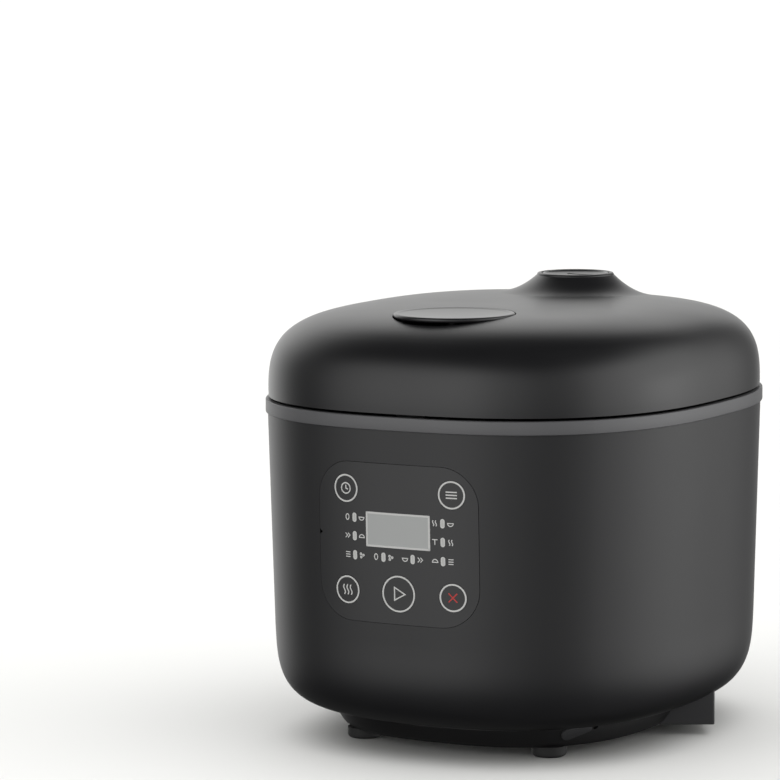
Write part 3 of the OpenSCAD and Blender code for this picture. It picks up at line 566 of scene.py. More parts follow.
# %% Keys
RING_WIDTH, RING_INSET, SIGN_WIDTH = 0.85, 0.3, 0.66
key_signs = {"timer_key": ("clock", 5.4, 1), "menu_key": ("list", 4.4, 1), "keep_warm_key": ("steam", 5.2, 1),
             "cancel_key": ("cross", 4.6, 2), "start_key": ("arrow", 6.6, 1)}
for key, (x, up, r) in KEYS.items():
    kind, height, ink = key_signs[key]
    disc = panel_plate(circle_loop(x, up, r), [], FILM_PROUD, FILM_DEPTH)
    ring_line = stroke(circle_loop(x, up, r - RING_WIDTH / 2 - RING_INSET), RING_WIDTH, 1, True)
    mesh = make_mesh(key, [disc, ring_line] + sign(kind, x, up, height, SIGN_WIDTH, ink))
    place_piece(key + "_face", mesh, key, [key], ["key_matt_polyester", "ink_white", "ink_red"])

# %% [markdown]
# ## Display window
# The display is off, so its window is an even grey: the reflecting layer behind
# the liquid crystal. A white line is printed round it, as a strip of its own, so
# that its edge stays sharp from close by.

# %% Display window
FRAME_LINE = 1.0
window = panel_plate(rounded_loop(0, LCD_UP, LCD_W, LCD_H, 0.35, 4), [], 0.06, 2.2)
frame_line = stroke(rounded_loop(0, LCD_UP, LCD_W - FRAME_LINE - 0.05, LCD_H - FRAME_LINE - 0.05, 0.15, 3),
                    FRAME_LINE, 1, True)
place_piece("display_window", make_mesh("display_window", [window, frame_line]), "housing",
            ["lcd_window"], ["display_grey_polariser", "ink_white"])

# %% [markdown]
# ## Lamps and their signs
# Eight small pills of frosted acrylic show the programme. Each has a white printed
# rim and a sign on either side. The signs are part of one print on the film.

# %% Lamps and their signs
LAMP_RIM = 0.62
lamps = []
for x, up in LIGHTS:
    lamps.append(panel_plate(pill_loop(x, up, LIGHT_W, LIGHT_H), [], FILM_PROUD, 3.2))
    lamps.append(stroke(pill_loop(x, up, LIGHT_W - LAMP_RIM, LIGHT_H - LAMP_RIM), LAMP_RIM, 1, True))
place_piece("indicator_lamps", make_mesh("indicator_lamps", lamps), "housing", ["indicator_lights"],
            ["lamp_frosted_acrylic", "ink_white"])

lamp_signs = [("grain", "bowl"), ("fast", "lid"), ("bars", "drops"), ("waves", "bowl"), ("tee", "waves"),
              ("lid", "bars"), ("grain", "drops"), ("bowl", "fast")]
SIGN_OUT, SIGN_SIZE, SMALL_LINE = 4.3, 3.0, 0.5
signs = [part for (x, up), kinds in zip(LIGHTS, lamp_signs) for side, kind in zip((-1, 1), kinds)
         for part in sign(kind, x + side * SIGN_OUT, up, SIGN_SIZE, SMALL_LINE, 0)]
place_piece("panel_print", make_mesh("panel_print", signs), "housing", [], ["ink_white"])

# %% [markdown]
# ## The lid
# The lid is one moulding: steep at its lower edge, then a wide soft shoulder into
# an almost flat top. A round well holds the release button, and a steam chimney
# flares out of the top at the back. The shoulder is a stack of rings. The top is a
# height field with two round holes, meshed by a Delaunay triangulation whose
# points follow the outline and the holes, so that the flare and the well share
# their edge points with it and the shading has no seam.

# %% Lid surfaces
LID_Z, DOME_H, LID_HALF, LID_WALL = 180.9, 46.1, 118.7, 2.8
SIDE_POWER, RISE_POWER = 5.4, 3.2
CHIMNEY_Y, CHIMNEY_R, BORE_R, FLARE, CHIMNEY_TOP = 71.0, 21.0, 16.5, 21.0, 237.2
FLARE_POWER = 2.0
BUTTON_Y, WELL_R, WELL_Z, STEM_HOLE, WELL_EDGE = -71.0, 31.9, 221.2, 5.0, 0.4
TOP_SHARE = 0.90


def dome(x, y, inset=0.0):
    """Height of the dome over plan points, or of its inner face a wall below."""
    hx, hy = LID_HALF - inset, LID_HALF * DEPTH_RATIO - inset
    share = ((abs(x) / hx) ** PLAN_POWER + (abs(y) / hy) ** PLAN_POWER) ** (1 / PLAN_POWER)
    return LID_Z - inset + DOME_H * np.clip(1 - share ** SIDE_POWER, 0, 1) ** (1 / RISE_POWER)


def around(cy, r, n=120):
    """Plan points of a circle on the centre line."""
    a = np.arange(n) * 2 * math.pi / n
    return r * np.cos(a), cy + r * np.sin(a)


def dome_outline(inset, share):
    """Plan of the dome at a share of its full outline."""
    px, py = outline(LID_HALF)
    return (px * share * (LID_HALF - inset) / LID_HALF,
            py * share * (LID_HALF * DEPTH_RATIO - inset) / (LID_HALF * DEPTH_RATIO))


def dome_top(inset, holes):
    """Triangles of the dome's top inside TOP_SHARE of its outline, round some (centre y, r) holes."""
    plans, edges = [], []
    rim = dome_outline(inset, TOP_SHARE)
    for x, y in [rim] + [around(cy, r) for cy, r in holes]:
        start, m = len(plans), len(x)
        plans += list(zip(x, y))
        edges += [(start + i, start + (i + 1) % m) for i in range(m)]
    for cy, r in holes:
        for grow in (1.2, 2.6, 4.4):
            plans += list(zip(*around(cy, r + grow)))
    steps = 62
    for k in range(1, steps):
        share = 1 - k / steps
        for i in range(0, ROUND, 1 if share > 0.55 else 2 if share > 0.28 else 6):
            x, y = rim[0][i] * share, rim[1][i] * share
            if all(math.hypot(x, y - cy) > r + 5.4 for cy, r in holes):
                plans.append((x, y))
    made, _, triangles = delaunay_2d_cdt([Vector(p) for p in plans], edges, [], 1, 1e-5)[:3]
    plan = np.array([tuple(v) for v in made])
    keep = []
    for t in triangles:
        x, y = plan[list(t)].mean(0)
        if all(math.hypot(x, y - cy) > r * 0.999 for cy, r in holes):
            keep.append(tuple(t))
    return np.column_stack([plan, dome(plan[:, 0], plan[:, 1], inset)]), keep


def shoulder(inset, start):
    """Rings of the dome from an angle up its side to the edge of its top."""
    stop = math.acos(TOP_SHARE ** (SIDE_POWER / 2))
    rings = []
    for a in np.linspace(start, stop, 44):
        share, rise = math.cos(a) ** (2 / SIDE_POWER), math.sin(a) ** (2 / RISE_POWER)
        rings.append(ring3(*dome_outline(inset, share), LID_Z - inset + DOME_H * rise))
    return rings


def lathe(cy, profile, n=120):
    """Rings round a vertical axis on the centre line from (radius, height) pairs."""
    return [ring3(*around(cy, r, n), z) for r, z in profile]


print("dome's height at its top, button and chimney in mm:",
      [round(float(dome(0.0, y)), 1) for y in (0.0, BUTTON_Y, CHIMNEY_Y)])

# %% [markdown]
# ## Chimney and well
# The chimney's flare leaves the dome tangentially and steepens to its rim, like a
# parabola whose height is measured from the dome itself. The well has a small
# rounded edge, a straight wall and a flat floor with the hole for the button's
# stem. The inner skin of the lid follows 2.8 mm below.

# %% Chimney and well
WELL_WALL, RIM_ROUND = 2.5, 1.2
outer_top = dome_top(0.0, [(CHIMNEY_Y, CHIMNEY_R + FLARE), (BUTTON_Y, WELL_R + WELL_EDGE)])
inner_top = dome_top(LID_WALL, [(CHIMNEY_Y, CHIMNEY_R), (BUTTON_Y, WELL_R + WELL_WALL)])

flare_rings = []
rim_x, rim_y = around(CHIMNEY_Y, CHIMNEY_R)
rim_height = CHIMNEY_TOP - RIM_ROUND - dome(rim_x, rim_y)
for rise in np.linspace(0, 1, 36):
    x, y = around(CHIMNEY_Y, CHIMNEY_R + FLARE * (1 - rise))
    flare_rings.append(ring3(x, y, dome(x, y) + rim_height * rise ** FLARE_POWER))
rim_profile = [(CHIMNEY_R + RIM_ROUND * (math.cos(a) - 1), CHIMNEY_TOP + RIM_ROUND * (math.sin(a) - 1))
               for a in np.linspace(0, math.pi / 2, 7)[1:]]
flare_rings += lathe(CHIMNEY_Y, rim_profile)
flare_rings += lathe(CHIMNEY_Y, [(18.9, CHIMNEY_TOP), (18.5, CHIMNEY_TOP - 0.4), (18.5, 233.9),
                                 (BORE_R, 233.9), (BORE_R, 216.0), (CHIMNEY_R, 216.0)])
flare_rings.append(ring3(rim_x, rim_y, dome(rim_x, rim_y, LID_WALL)))

well_rings = []
edge_height = dome(*around(BUTTON_Y, WELL_R + WELL_EDGE))
for a in np.linspace(0, math.pi / 2, 6):
    x, y = around(BUTTON_Y, WELL_R + WELL_EDGE * (1 - math.sin(a)))
    well_rings.append(ring3(x, y, edge_height - WELL_EDGE * (1 - math.cos(a))))
WELL_UNDER = WELL_Z - WELL_WALL
well_rings += lathe(BUTTON_Y, [(WELL_R, WELL_Z + 0.3), (WELL_R - 0.3, WELL_Z), (STEM_HOLE + 0.3, WELL_Z),
                               (STEM_HOLE, WELL_Z - 0.3), (STEM_HOLE, WELL_UNDER), (WELL_R + WELL_WALL, WELL_UNDER)])
x, y = around(BUTTON_Y, WELL_R + WELL_WALL)
well_rings.append(ring3(x, y, dome(x, y, LID_WALL)))
print("flare rings:", len(flare_rings), "well rings:", len(well_rings))

# %% [markdown]
# ## Lid skirt and notches
# The skirt's lower edge is slightly broken. Its inner face starts at the same ring,
# so the lid is one closed shell. At the back it has two notches for the hinge
# knuckles and a shallow step across them, cut as boxes, so that it can swing up.

# %% Lid mesh
skirt = [ring3(*outline(LID_HALF, inset=inset), LID_Z + lift)
         for inset, lift in ((LID_WALL, 0), (0.5, 0), (0.12, 0.15))]
skirt += [ring for ring in shoulder(0.0, 0.0) if ring[0][2] > LID_Z + 0.5]
lining = shoulder(LID_WALL, math.asin((LID_WALL / DOME_H) ** (RISE_POWER / 2)))
lining[0] = skirt[0]
lid_mesh = make_mesh("lid_shell", [(*outer_top, 0), (*inner_top, 0)] + [
    (*join_rings(rings), 0) for rings in (flare_rings, well_rings, skirt, lining)])

NOTCH_X, NOTCH_HALF, STEP_HALF = 24, 10.7, 62
hinge_notches = [box_mesh("notch", (s * NOTCH_X - NOTCH_HALF, 118, 179), (s * NOTCH_X + NOTCH_HALF, 150, 192))
                 for s in (-1, 1)]
hinge_notches.append(box_mesh("notch", (-STEP_HALF, 118, 179), (STEP_HALF, 150, 182.5)))
place_piece("lid", cut(lid_mesh, *hinge_notches), "lid", ["lid_shell"], ["lid_satin_abs"])

# %% [markdown]
# ## Release button and vent cap
# The button is a thin dished disc with a raised rim, standing just clear of the
# lid, so that a dark line shows under its front edge. The vent cap fills the
# chimney: its top is a shallow dish with two steam slots. Both are turned shapes,
# drawn as a half profile and spun.

# %% Turned pieces
def turned(cy, profile, n=128):
    """Solid of revolution from a profile that starts and ends on the axis."""
    points, faces = join_rings(lathe(cy, profile[1:-1], n))
    points = list(map(tuple, points))
    for z, start in ((profile[0][1], 0), (profile[-1][1], len(points) - n)):
        points.append((0, cy, z))
        faces += [(start + i, start + (i + 1) % n, len(points) - 1) for i in range(n)]
    return points, faces, 0


def rounded_corner(cr, cz, r, start, end, steps=6):
    """Part of a profile: an arc round (cr, cz), angles in degrees from outwards."""
    return [(cr + r * math.cos(math.radians(a)), cz + r * math.sin(math.radians(a)))
            for a in np.linspace(start, end, steps)]


BUTTON_R, BUTTON_TOP, BUTTON_LOW, BUTTON_DISH = 31.5, 227.1, 224.6, 0.9
DISH_R, STEM_R, STEM_LOW = 28.4, 4.5, 206.3
button_profile = [(0, STEM_LOW), (STEM_R - 0.6, STEM_LOW), (STEM_R, STEM_LOW + 0.6), (STEM_R, BUTTON_LOW),
                  (BUTTON_R - 1.5, BUTTON_LOW)]
button_profile += rounded_corner(BUTTON_R - 1.2, BUTTON_LOW + 1.2, 1.2, -80, 0)
button_profile += rounded_corner(BUTTON_R - 1.1, BUTTON_TOP - 1.1, 1.1, 0, 90)
button_profile += [(BUTTON_R - 2.4, BUTTON_TOP)]
button_profile += [(r, BUTTON_TOP - 0.25 - BUTTON_DISH * (1 - (r / DISH_R) ** 2))
                   for r in (DISH_R, 26, 22, 17, 12, 6, 0)]
place_piece("release_button_disc", make_mesh("release_button", [turned(BUTTON_Y, button_profile)]),
            "release_button", ["release_button"], ["button_satin_abs"])

CAP_R, CAP_LIP, CUP_R, CUP_LOW = 18.0, 234.0, 13.8, 203.0
cap_profile = [(0, CAP_LIP - 0.5), (CUP_R - 1.4, CAP_LIP - 0.5), (CUP_R - 1.4, CUP_LOW + 0.3),
               (CUP_R - 1.1, CUP_LOW), (CUP_R - 0.3, CUP_LOW), (CUP_R, CUP_LOW + 0.3), (CUP_R, CAP_LIP),
               (CAP_R, CAP_LIP)]
cap_profile += rounded_corner(CAP_R - 0.5, CHIMNEY_TOP - 0.6, 0.5, 0, 90, 5)
cap_profile += rounded_corner(CAP_R - 1.2, CHIMNEY_TOP - 0.35, 0.25, 90, 160, 3)
cap_profile += [(r, CHIMNEY_TOP - 0.75 - 1.15 * (1 - (r / (CAP_R - 1.6)) ** 2)) for r in (15.4, 13.5, 11, 8, 4, 0)]
cap_mesh = make_mesh("steam_vent_cap", [turned(CHIMNEY_Y, cap_profile)])
slot_loop = rounded_loop(0, 0, 16, 2.4, 1.19, 8)
slots = [make_mesh("slot", [capped([[(x, CHIMNEY_Y + s * 6 + y, z) for x, y in slot_loop] for z in (225, 240)])])
         for s in (-1, 1)]
place_piece("vent_cap", cut(cap_mesh, *slots), "steam_cap", ["steam_vent_cap"], ["vent_satin_pp"])

# %% [markdown]
# ## Base ring
# Below the crease the casing ends and a narrower ring of matt black plastic carries
# it. Its floor has slots for air and four recessed screws. At the front right the
# ring has a moulded pad with a small drain hole beside it. The pad's two ends are
# placed with the formula of the wall, so it lies against the wall.

# %% Base ring
BASE_Z, BASE_FLOOR, BASE_WALL = 5.6, 8.1, 2.5


def ring_wall(z):
    """Half width and plan power of the base ring's wall at a height."""
    t = (z - BASE_Z) / (CREASE_Z - BASE_Z)
    return 82.7 + 9.3 * t - 2.6 * t * t, PLAN_POWER + (LOWER_POWER - PLAN_POWER) * t


ring_rows = [(BASE_Z, 81.6, 2.6), (BASE_Z + 0.1, 82.1, 2.6), (BASE_Z + 0.4, 82.5, 2.6), (BASE_Z + 0.9, 82.9, 2.59)]
ring_rows += [(z, *ring_wall(z)) for z in np.linspace(BASE_Z + 1.6, CREASE_Z - 0.9, 12)]
ring_rows += [(CREASE_Z - 0.4, 89.0, LOWER_POWER), (CREASE_Z - 0.1, 88.6, LOWER_POWER), (CREASE_Z, 87.6, LOWER_POWER)]
base_rings = [ring3(*outline(half, power), z) for z, half, power in ring_rows]
base_rings += [ring3(*outline(half, inset=BASE_WALL), z) for z, half in ((CREASE_Z, 88.0), (BASE_FLOOR, 84.5))]
base_mesh = make_mesh("base_plate", [capped(base_rings)])
air_slots = [box_mesh("air", (x - 2, -50, 4), (x + 2, -24, 10)) for x in range(-30, 31, 10)]


def post(name, x, y, r, low, high, n=32):
    """Closed cylinder, upright, in mm."""
    a = np.arange(n) * 2 * math.pi / n
    return make_mesh(name, [capped([ring3(x + r * np.cos(a), y + r * np.sin(a), z) for z in (low, high)])])


screw_holes = [post("screw", x, y, 3.5, 4, 9.8) for x in (-46, 46) for y in (-56, 62)]


def ring_surface(angle, z):
    """Point on the base ring's wall, and the wall's outward direction there."""
    def at(a, height):
        half, power = ring_wall(height)
        x, y = outline(half, power, angles=np.array([math.radians(a)]))
        return Vector((x[0], y[0], height))
    here = at(angle, z)
    return here, (at(angle + 0.5, z) - here).cross(at(angle, z + 0.3) - here).normalized()


def ring_pad(start, end, r_start, r_end, proud, sunk, n=16):
    """Tapered capsule on the ring's wall from one (angle, height) to another."""
    (p0, out), (p1, _) = ring_surface(*start), ring_surface(*end)
    run = (p1 - p0).normalized()
    side = out.cross(run).normalized()
    rings = []
    for lift, shrink in ((-sunk, 0), (proud - 0.5, 0), (proud - 0.2, 0.12), (proud, 0.5)):
        loop = []
        for centre, r, a0 in ((p1, r_end, -90), (p0, r_start, 90)):
            for a in np.linspace(a0, a0 + 180, n):
                d = run * math.cos(math.radians(a)) + side * math.sin(math.radians(a))
                loop.append(centre + d * (r - shrink) + out * lift)
        rings.append(np.array(loop))
    return capped(rings)


pad = ring_pad((-48.2, 13.0), (-41.6, 15.2), 3.5, 2.0, 0.9, 2.0)
drain = ring_pad((-39.0, 15.4), (-38.8, 15.5), 1.3, 1.3, 2.0, 1.6)
place_piece("base_ring", cut(base_mesh, make_mesh("drain", [drain]), *air_slots, *screw_holes), "housing",
            ["base_plate"], ["base_matt_abs"])
place_piece("drain_pad", make_mesh("drain_pad", [pad]), "housing", [], ["inlet_matt_abs"])

# %% [markdown]
# ## Rubber feet
# The feet are discs of moulded rubber with a well rounded edge. Rubber is a soft
# grey black with almost no gloss. Plain cylinders would be simpler, but would show
# a hard edge that moulded rubber does not have. The silicone of the seals is set here too.

# %% Feet
moulded_plastic("foot_nitrile_rubber", ("#1d1d1d", "#242424"), (0.68, 0.78), 0.5, 0.012, 8.0, ior=1.52)
moulded_plastic("seal_silicone", ("#8f908f", "#9a9b9a"), (0.42, 0.50), 0.6, 0.006, 12.0, ior=1.41)
FOOT_R, FOOT_X, FOOT_Y = 9.0, 54.3, 70.6
foot_profile = [(0, 0), (FOOT_R - 2.0, 0)] + rounded_corner(FOOT_R - 1.8, 1.8, 1.8, -85, 0) \
    + [(FOOT_R, BASE_Z - 0.05), (0, BASE_Z + 0.8)]


def feet(y):
    """Two feet, left and right, as mesh parts."""
    points, faces, mark = turned(y, foot_profile, 64)
    return [(np.array(points) + [x, 0, 0], faces, mark) for x in (-FOOT_X, FOOT_X)]


for name, y, node in (("front_rubber_feet", -FOOT_Y, "front_feet"), ("rear_rubber_feet", FOOT_Y, "rear_feet")):
    place_piece(name, make_mesh(name, feet(y)), "housing", [node], ["foot_nitrile_rubber"])

# %% [markdown]
# ## Inlet housing
# A separate flat-sided moulding under the casing, towards the right and back, where
# the detachable cord plugs in from behind. It is its plan drawn upwards, with
# rounded corners and a broken lower edge, and a recess cut for the connector.

# %% Inlet housing
def softened(corners, r, steps=6):
    """Plan loop with its corners rounded to a radius."""
    loop = []
    n = len(corners)
    for i in range(n):
        p, a, b = (Vector(corners[j % n]) for j in (i, i - 1, i + 1))
        u, v = (a - p).normalized(), (b - p).normalized()
        half = math.acos(max(-1, min(1, u.dot(v)))) / 2
        reach = r / math.tan(half)
        centre = p + (u + v).normalized() * (r / math.sin(half))
        s, e = p + u * reach - centre, p + v * reach - centre
        a0, a1 = math.atan2(s.y, s.x), math.atan2(e.y, e.x)
        turn = (a1 - a0 + math.pi) % (2 * math.pi) - math.pi
        loop += [centre + r * Vector((math.cos(a0 + turn * k / steps), math.sin(a0 + turn * k / steps)))
                 for k in range(steps + 1)]
    return loop


INLET_PLAN = [(81.2, 2.4), (108.6, 16.4), (54, 119), (12, 119), (12, 60), (50, 0)]
INLET_MIDDLE, INLET_REACH, INLET_TOP = Vector((60, 60)), 55, 30.5
inlet_rings = []
for z, draw in ((BASE_Z, 0.6), (BASE_Z + 0.18, 0.18), (BASE_Z + 0.6, 0), (INLET_TOP, 0)):
    plan = [tuple(INLET_MIDDLE + (Vector(p) - INLET_MIDDLE) * (1 - draw / INLET_REACH)) for p in INLET_PLAN]
    inlet_rings.append(np.array([(p.x, p.y, z) for p in softened(plan, 1.4)]))
recess = box_mesh("recess", (19, 102.5, 9), (49, 130, 23))
inlet_mesh = cut(make_mesh("inlet_housing", [capped(inlet_rings)]), recess)
place_piece("inlet_block", inlet_mesh, "housing", ["inlet_housing"],
            ["inlet_matt_abs"])

# %% [markdown]
# ## Metals
# Metals take their colour from their reflections, so their pattern is in the
# polish: fine lines left by the lathe, the brush or the rolling mill. The lines
# are stretched noise, run round the axis of a turned piece or along a sheet.

# %% Metal finishes
def worked_metal(name, tones, rough, line, axis=None, depth=0.004):
    """Metal with fine lines some mm apart: rings round an (x, y) axis in mm, or lines along X."""
    tree, shader, place = new_finish(name, {"Metallic": 1.0})
    if axis:
        apart = add(tree, "ShaderNodeVectorMath", {"operation": "SUBTRACT"}, {0: place})
        apart.inputs[1].default_value = (axis[0] * MM, axis[1] * MM, 0)
        flat = add(tree, "ShaderNodeVectorMath", {"operation": "MULTIPLY"}, {0: apart.outputs["Vector"]})
        flat.inputs[1].default_value = (1, 1, 0)
        far = add(tree, "ShaderNodeVectorMath", {"operation": "LENGTH"}, {0: flat.outputs["Vector"]})
        place = add(tree, "ShaderNodeCombineXYZ", (), {"X": far.outputs["Value"]}).outputs["Vector"]
    stretch = (1, 1, 1) if axis else (0.03, 1, 1)
    tone_and_grain(tree, shader, place, tones, rough, 14.0, line, depth, stretch)


POT_AXIS = (0.0, -6.0)
worked_metal("inner_lid_aluminium", ("#c4c5c7", "#cfd0d2"), (0.24, 0.34), 0.7, POT_AXIS)
worked_metal("heating_plate_aluminium", ("#b3b4b6", "#c2c3c5"), (0.32, 0.44), 0.8, POT_AXIS, 0.008)
worked_metal("steel_sheet_zinc_plated", ("#b4b6b9", "#c3c5c8"), (0.30, 0.42), 0.5)
worked_metal("steel_screw_zinc_plated", ("#a9abae", "#bcbec1"), (0.26, 0.36), 0.4)
worked_metal("spring_steel_wire", ("#8f9194", "#9c9ea1"), (0.25, 0.34), 0.3)
worked_metal("brass_nickel_plated", ("#c9c4b4", "#d4cfc0"), (0.18, 0.28), 0.4)
print("finishes so far:", len(finishes))

# %% [markdown]
# ## The inner pot
# The pot is pressed aluminium with a black non-stick coating inside and a rolled
# rim that rests on the upper frame. The coating is a baked resin with fine light
# flecks and a soft gloss.

# %% Pot coating and pot
def flecked_coating(name, base, fleck, fleck_mm, rough):
    """Baked resin with round flecks of another colour, some mm apart."""
    tree, shader, place = new_finish(name, {"IOR": 1.45})
    mottled = tone_and_grain(tree, shader, place, base, rough, 20.0, 0.8, 0.004)
    cells = add(tree, "ShaderNodeTexVoronoi", {"Scale": 1 / (fleck_mm * MM)}, {"Vector": place})
    spot = add(tree, "ShaderNodeMapRange", {"From Min": 0.10, "From Max": 0.16, "To Min": 1.0, "To Max": 0.0},
               {"Value": cells.outputs["Distance"]})
    mixed = add(tree, "ShaderNodeMix", {"data_type": "RGBA"}, {"Factor": spot.outputs["Result"]})
    tree.links.new(mottled.outputs[2], mixed.inputs[6])
    mixed.inputs[7].default_value = linear(fleck)
    tree.links.new(mixed.outputs[2], shader.inputs["Base Color"])


flecked_coating("pot_nonstick_coating", ("#2c2c2e", "#333335"), "#6d6d70", 2.2, (0.30, 0.38))
POT_R, POT_WALL, POT_LOW, POT_ROUND = 93.0, 2.0, 62.0, 14.0
pot_profile = [(0, POT_LOW), (60, POT_LOW)]
pot_profile += rounded_corner(POT_R - POT_ROUND, POT_LOW + POT_ROUND, POT_ROUND, -90, 0, 14)
pot_profile += [(POT_R, 173.0)] + [(POT_R + 1 - math.cos(a), 173.0 + math.sin(a)) for a in (0.5, 1.1, 1.57)]
pot_profile += rounded_corner(98.75, 174.75, 0.75, -90, 90, 8)
pot_profile += [(92.6, 175.5), (91.7, 175.2), (91.1, 174.6), (91.0, 173.8)]
pot_profile += rounded_corner(POT_R - POT_ROUND, POT_LOW + POT_ROUND, POT_ROUND - POT_WALL, 0, -90, 14)
pot_profile += [(60, POT_LOW + POT_WALL), (0, POT_LOW + POT_WALL)]
place_piece("inner_pot_bowl", make_mesh("inner_pot", [turned(POT_AXIS[1], pot_profile, 200)]),
            "housing", ["inner_pot"], ["pot_nonstick_coating"])

# %% [markdown]
# ## Boards, heaters and the rest of the inside
# The inside parts keep their CAD meshes. A circuit board is glass-filled resin
# under a green solder mask with paler copper tracks showing through. The heater's
# band is mica, a layered mineral that flakes and glitters a little.

# %% Inside finishes
tree, shader, place = new_finish("board_solder_mask", {"IOR": 1.5, "Roughness": 0.35})
TRACK_MM, TRACK_THICK = 9, 0.03
tracks = add(tree, "ShaderNodeTexBrick", {
    "Scale": 1 / (TRACK_MM * MM), "Mortar Size": 0.02, "Color1": linear("#1d5a34"),
    "Color2": linear("#216139"), "Mortar": linear("#2f7d4c")}, {"Vector": place})
tree.links.new(tracks.outputs["Color"], shader.inputs["Base Color"])
bump = add(tree, "ShaderNodeBump", {"Strength": 1.0, "Distance": TRACK_THICK * MM}, {"Height": tracks.outputs["Fac"]})
tree.links.new(bump.outputs["Normal"], shader.inputs["Normal"])
moulded_plastic("heater_mica", ("#8d8068", "#a3977f"), (0.35, 0.55), 1.6, 0.03, 6.0, ior=1.58)
moulded_plastic("fuse_ceramic", ("#d5cfc0", "#e0dbcd"), (0.30, 0.40), 0.8, 0.006, 5.0, ior=1.55)
moulded_plastic("winding_tape_polyester", ("#c9a92e", "#d4b53c"), (0.28, 0.38), 2.0, 0.02, 8.0, ior=1.6)
moulded_plastic("capacitor_sleeve_pvc", ("#24306b", "#2b3878"), (0.25, 0.35), 1.0, 0.006, 6.0)
moulded_plastic("display_module_frame", ("#4b4f4b", "#555955"), (0.35, 0.45), 0.8, 0.006, 8.0)
print("finishes in all but the floor's:", len(finishes))

# %% [markdown]
# ## Kept CAD meshes
# Each inner part gets the finish of the real material. The parts of sheet steel,
# polypropylene and nylon also get a bevel modifier of 0.25 mm, because no real
# edge is perfectly sharp and a broken edge draws a thin line of light.

# %% Kept CAD meshes
BROKEN_EDGE = 0.25
kept_meshes = {
    "frame_matt_pp": ["upper_frame", "lid_liner"],
    "nylon_black": ["inlet_socket", "key_switches", "steam_duct", "latch_hook", "latch_bracket"],
    "brass_nickel_plated": ["inlet_pins"],
    "steel_screw_zinc_plated": ["base_screws", "board_screws", "power_board_screws", "hinge_arm_screws",
                                "latch_pin", "hinge_pin"],
    "steel_sheet_zinc_plated": ["pot_housing", "plate_supports", "sensor_guide", "latch_catch",
                                "hinge_bracket", "lid_hinge_arms"],
    "heating_plate_aluminium": ["heating_plate", "temperature_sensor"],
    "inner_lid_aluminium": ["inner_lid"],
    "spring_steel_wire": ["sensor_spring", "hinge_spring", "latch_spring"],
    "seal_silicone": ["inner_lid_gasket", "inner_lid_knob", "steam_duct_seal"],
    "board_solder_mask": ["control_board", "power_board"],
    "display_module_frame": ["lcd_module"],
    "heater_mica": ["side_heater"], "fuse_ceramic": ["thermal_fuse"],
    "relay_blue_pbt": ["power_relay"], "winding_tape_polyester": ["transformer"],
    "capacitor_sleeve_pvc": ["filter_capacitor"],
    "cable_brown_pvc": ["mains_leads"], "cable_white_pvc": ["heater_leads", "panel_lead"],
}
for finish, names in kept_meshes.items():
    for name in names:
        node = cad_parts[name]
        node.data.materials.clear()
        node.data.materials.append(finishes[finish])
        if finish in ("frame_matt_pp", "steel_sheet_zinc_plated", "nylon_black"):
            broken = node.modifiers.new("broken edges", "BEVEL")
            broken.width, broken.segments, broken.angle_limit = BROKEN_EDGE * MM, 2, math.radians(40)
print("CAD meshes kept:", sum(map(len, kept_meshes.values())))

# %% [markdown]
# ## Floor
# A plain pale floor runs out to a pale horizon. It is hidden from reflections and
# from bounced light, so that the underside and the lower corner stay dark. The
# camera still sees it, and the cooker's shadow on it.

# %% Floor
moulded_plastic("floor_painted_board", ("#dededc", "#e4e4e2"), (0.75, 0.85), 1.5, 0.01, 400.0)
FLOOR_R, FLOOR_SIDES = 60000.0, 96
around_floor = np.linspace(0, 2 * math.pi, FLOOR_SIDES + 1)[:-1]
floor = bpy.data.objects.new("floor", make_mesh("floor", [(
    [(FLOOR_R * math.cos(a), FLOOR_R * math.sin(a), 0) for a in around_floor], [tuple(range(FLOOR_SIDES))], 0)]))
floor.data.materials.append(finishes["floor_painted_board"])
bpy.context.scene.collection.objects.link(floor)
floor.visible_glossy = False
floor.visible_diffuse = False
print("floor radius in m:", FLOOR_R * MM)

# %% [markdown]
# ## Studio walls
# A dark satin object shows little of itself: it shows the room. The sky stands for
# the room. It is bright at the level of the cooker, dark overhead and dark below,
# so the lid's top mirrors a bright wall while its shoulder and the lower corner
# stay dark. Round the compass, WALLS gives how bright the wall is at each azimuth
# (0 is in front, 90 at the right). The darker gaps near -70 and 50 degrees darken
# the casing where its front turns to the sides. Area lamps could do this, but each
# would also show as a highlight on the curved lid.

# %% Studio walls
WALL_TONE, CEILING_TONE, FLOOR_TONE = 2.0, 0.06, 0.05
WALLS = [(-180, 0.12), (-166, 0.52), (-120, 0.75), (-104, 0.55), (-92, 0.25), (-78, 0.08), (-62, 0.1),
         (-44, 0.55), (-27, 0.8), (-10, 0.9), (18, 0.45), (44, 0.22), (60, 0.28), (84, 0.75), (115, 1.0),
         (140, 0.75), (155, 0.48), (168, 0.1), (180, 0.12)]
world = bpy.data.worlds.new("studio")
bpy.context.scene.world = world
world.use_nodes = True
sky = world.node_tree
sky.nodes.clear()
toward = add(sky, "ShaderNodeTexCoord").outputs["Generated"]
apart = add(sky, "ShaderNodeSeparateXYZ", links={"Vector": toward})
strength = add(sky, "ShaderNodeMapRange", {"interpolation_type": "SMOOTHSTEP", "From Min": 0.42, "From Max": 0.84,
               "To Min": WALL_TONE, "To Max": CEILING_TONE}, {"Value": apart.outputs["Z"]}).outputs["Result"]
low_part = add(sky, "ShaderNodeMapRange", {"interpolation_type": "SMOOTHSTEP", "From Min": -0.45, "From Max": -0.12,
               "To Min": FLOOR_TONE, "To Max": 1.0}, {"Value": apart.outputs["Z"]}).outputs["Result"]
forward = add(sky, "ShaderNodeMath", {"operation": "MULTIPLY"}, {0: apart.outputs["Y"]})
forward.inputs[1].default_value = -1
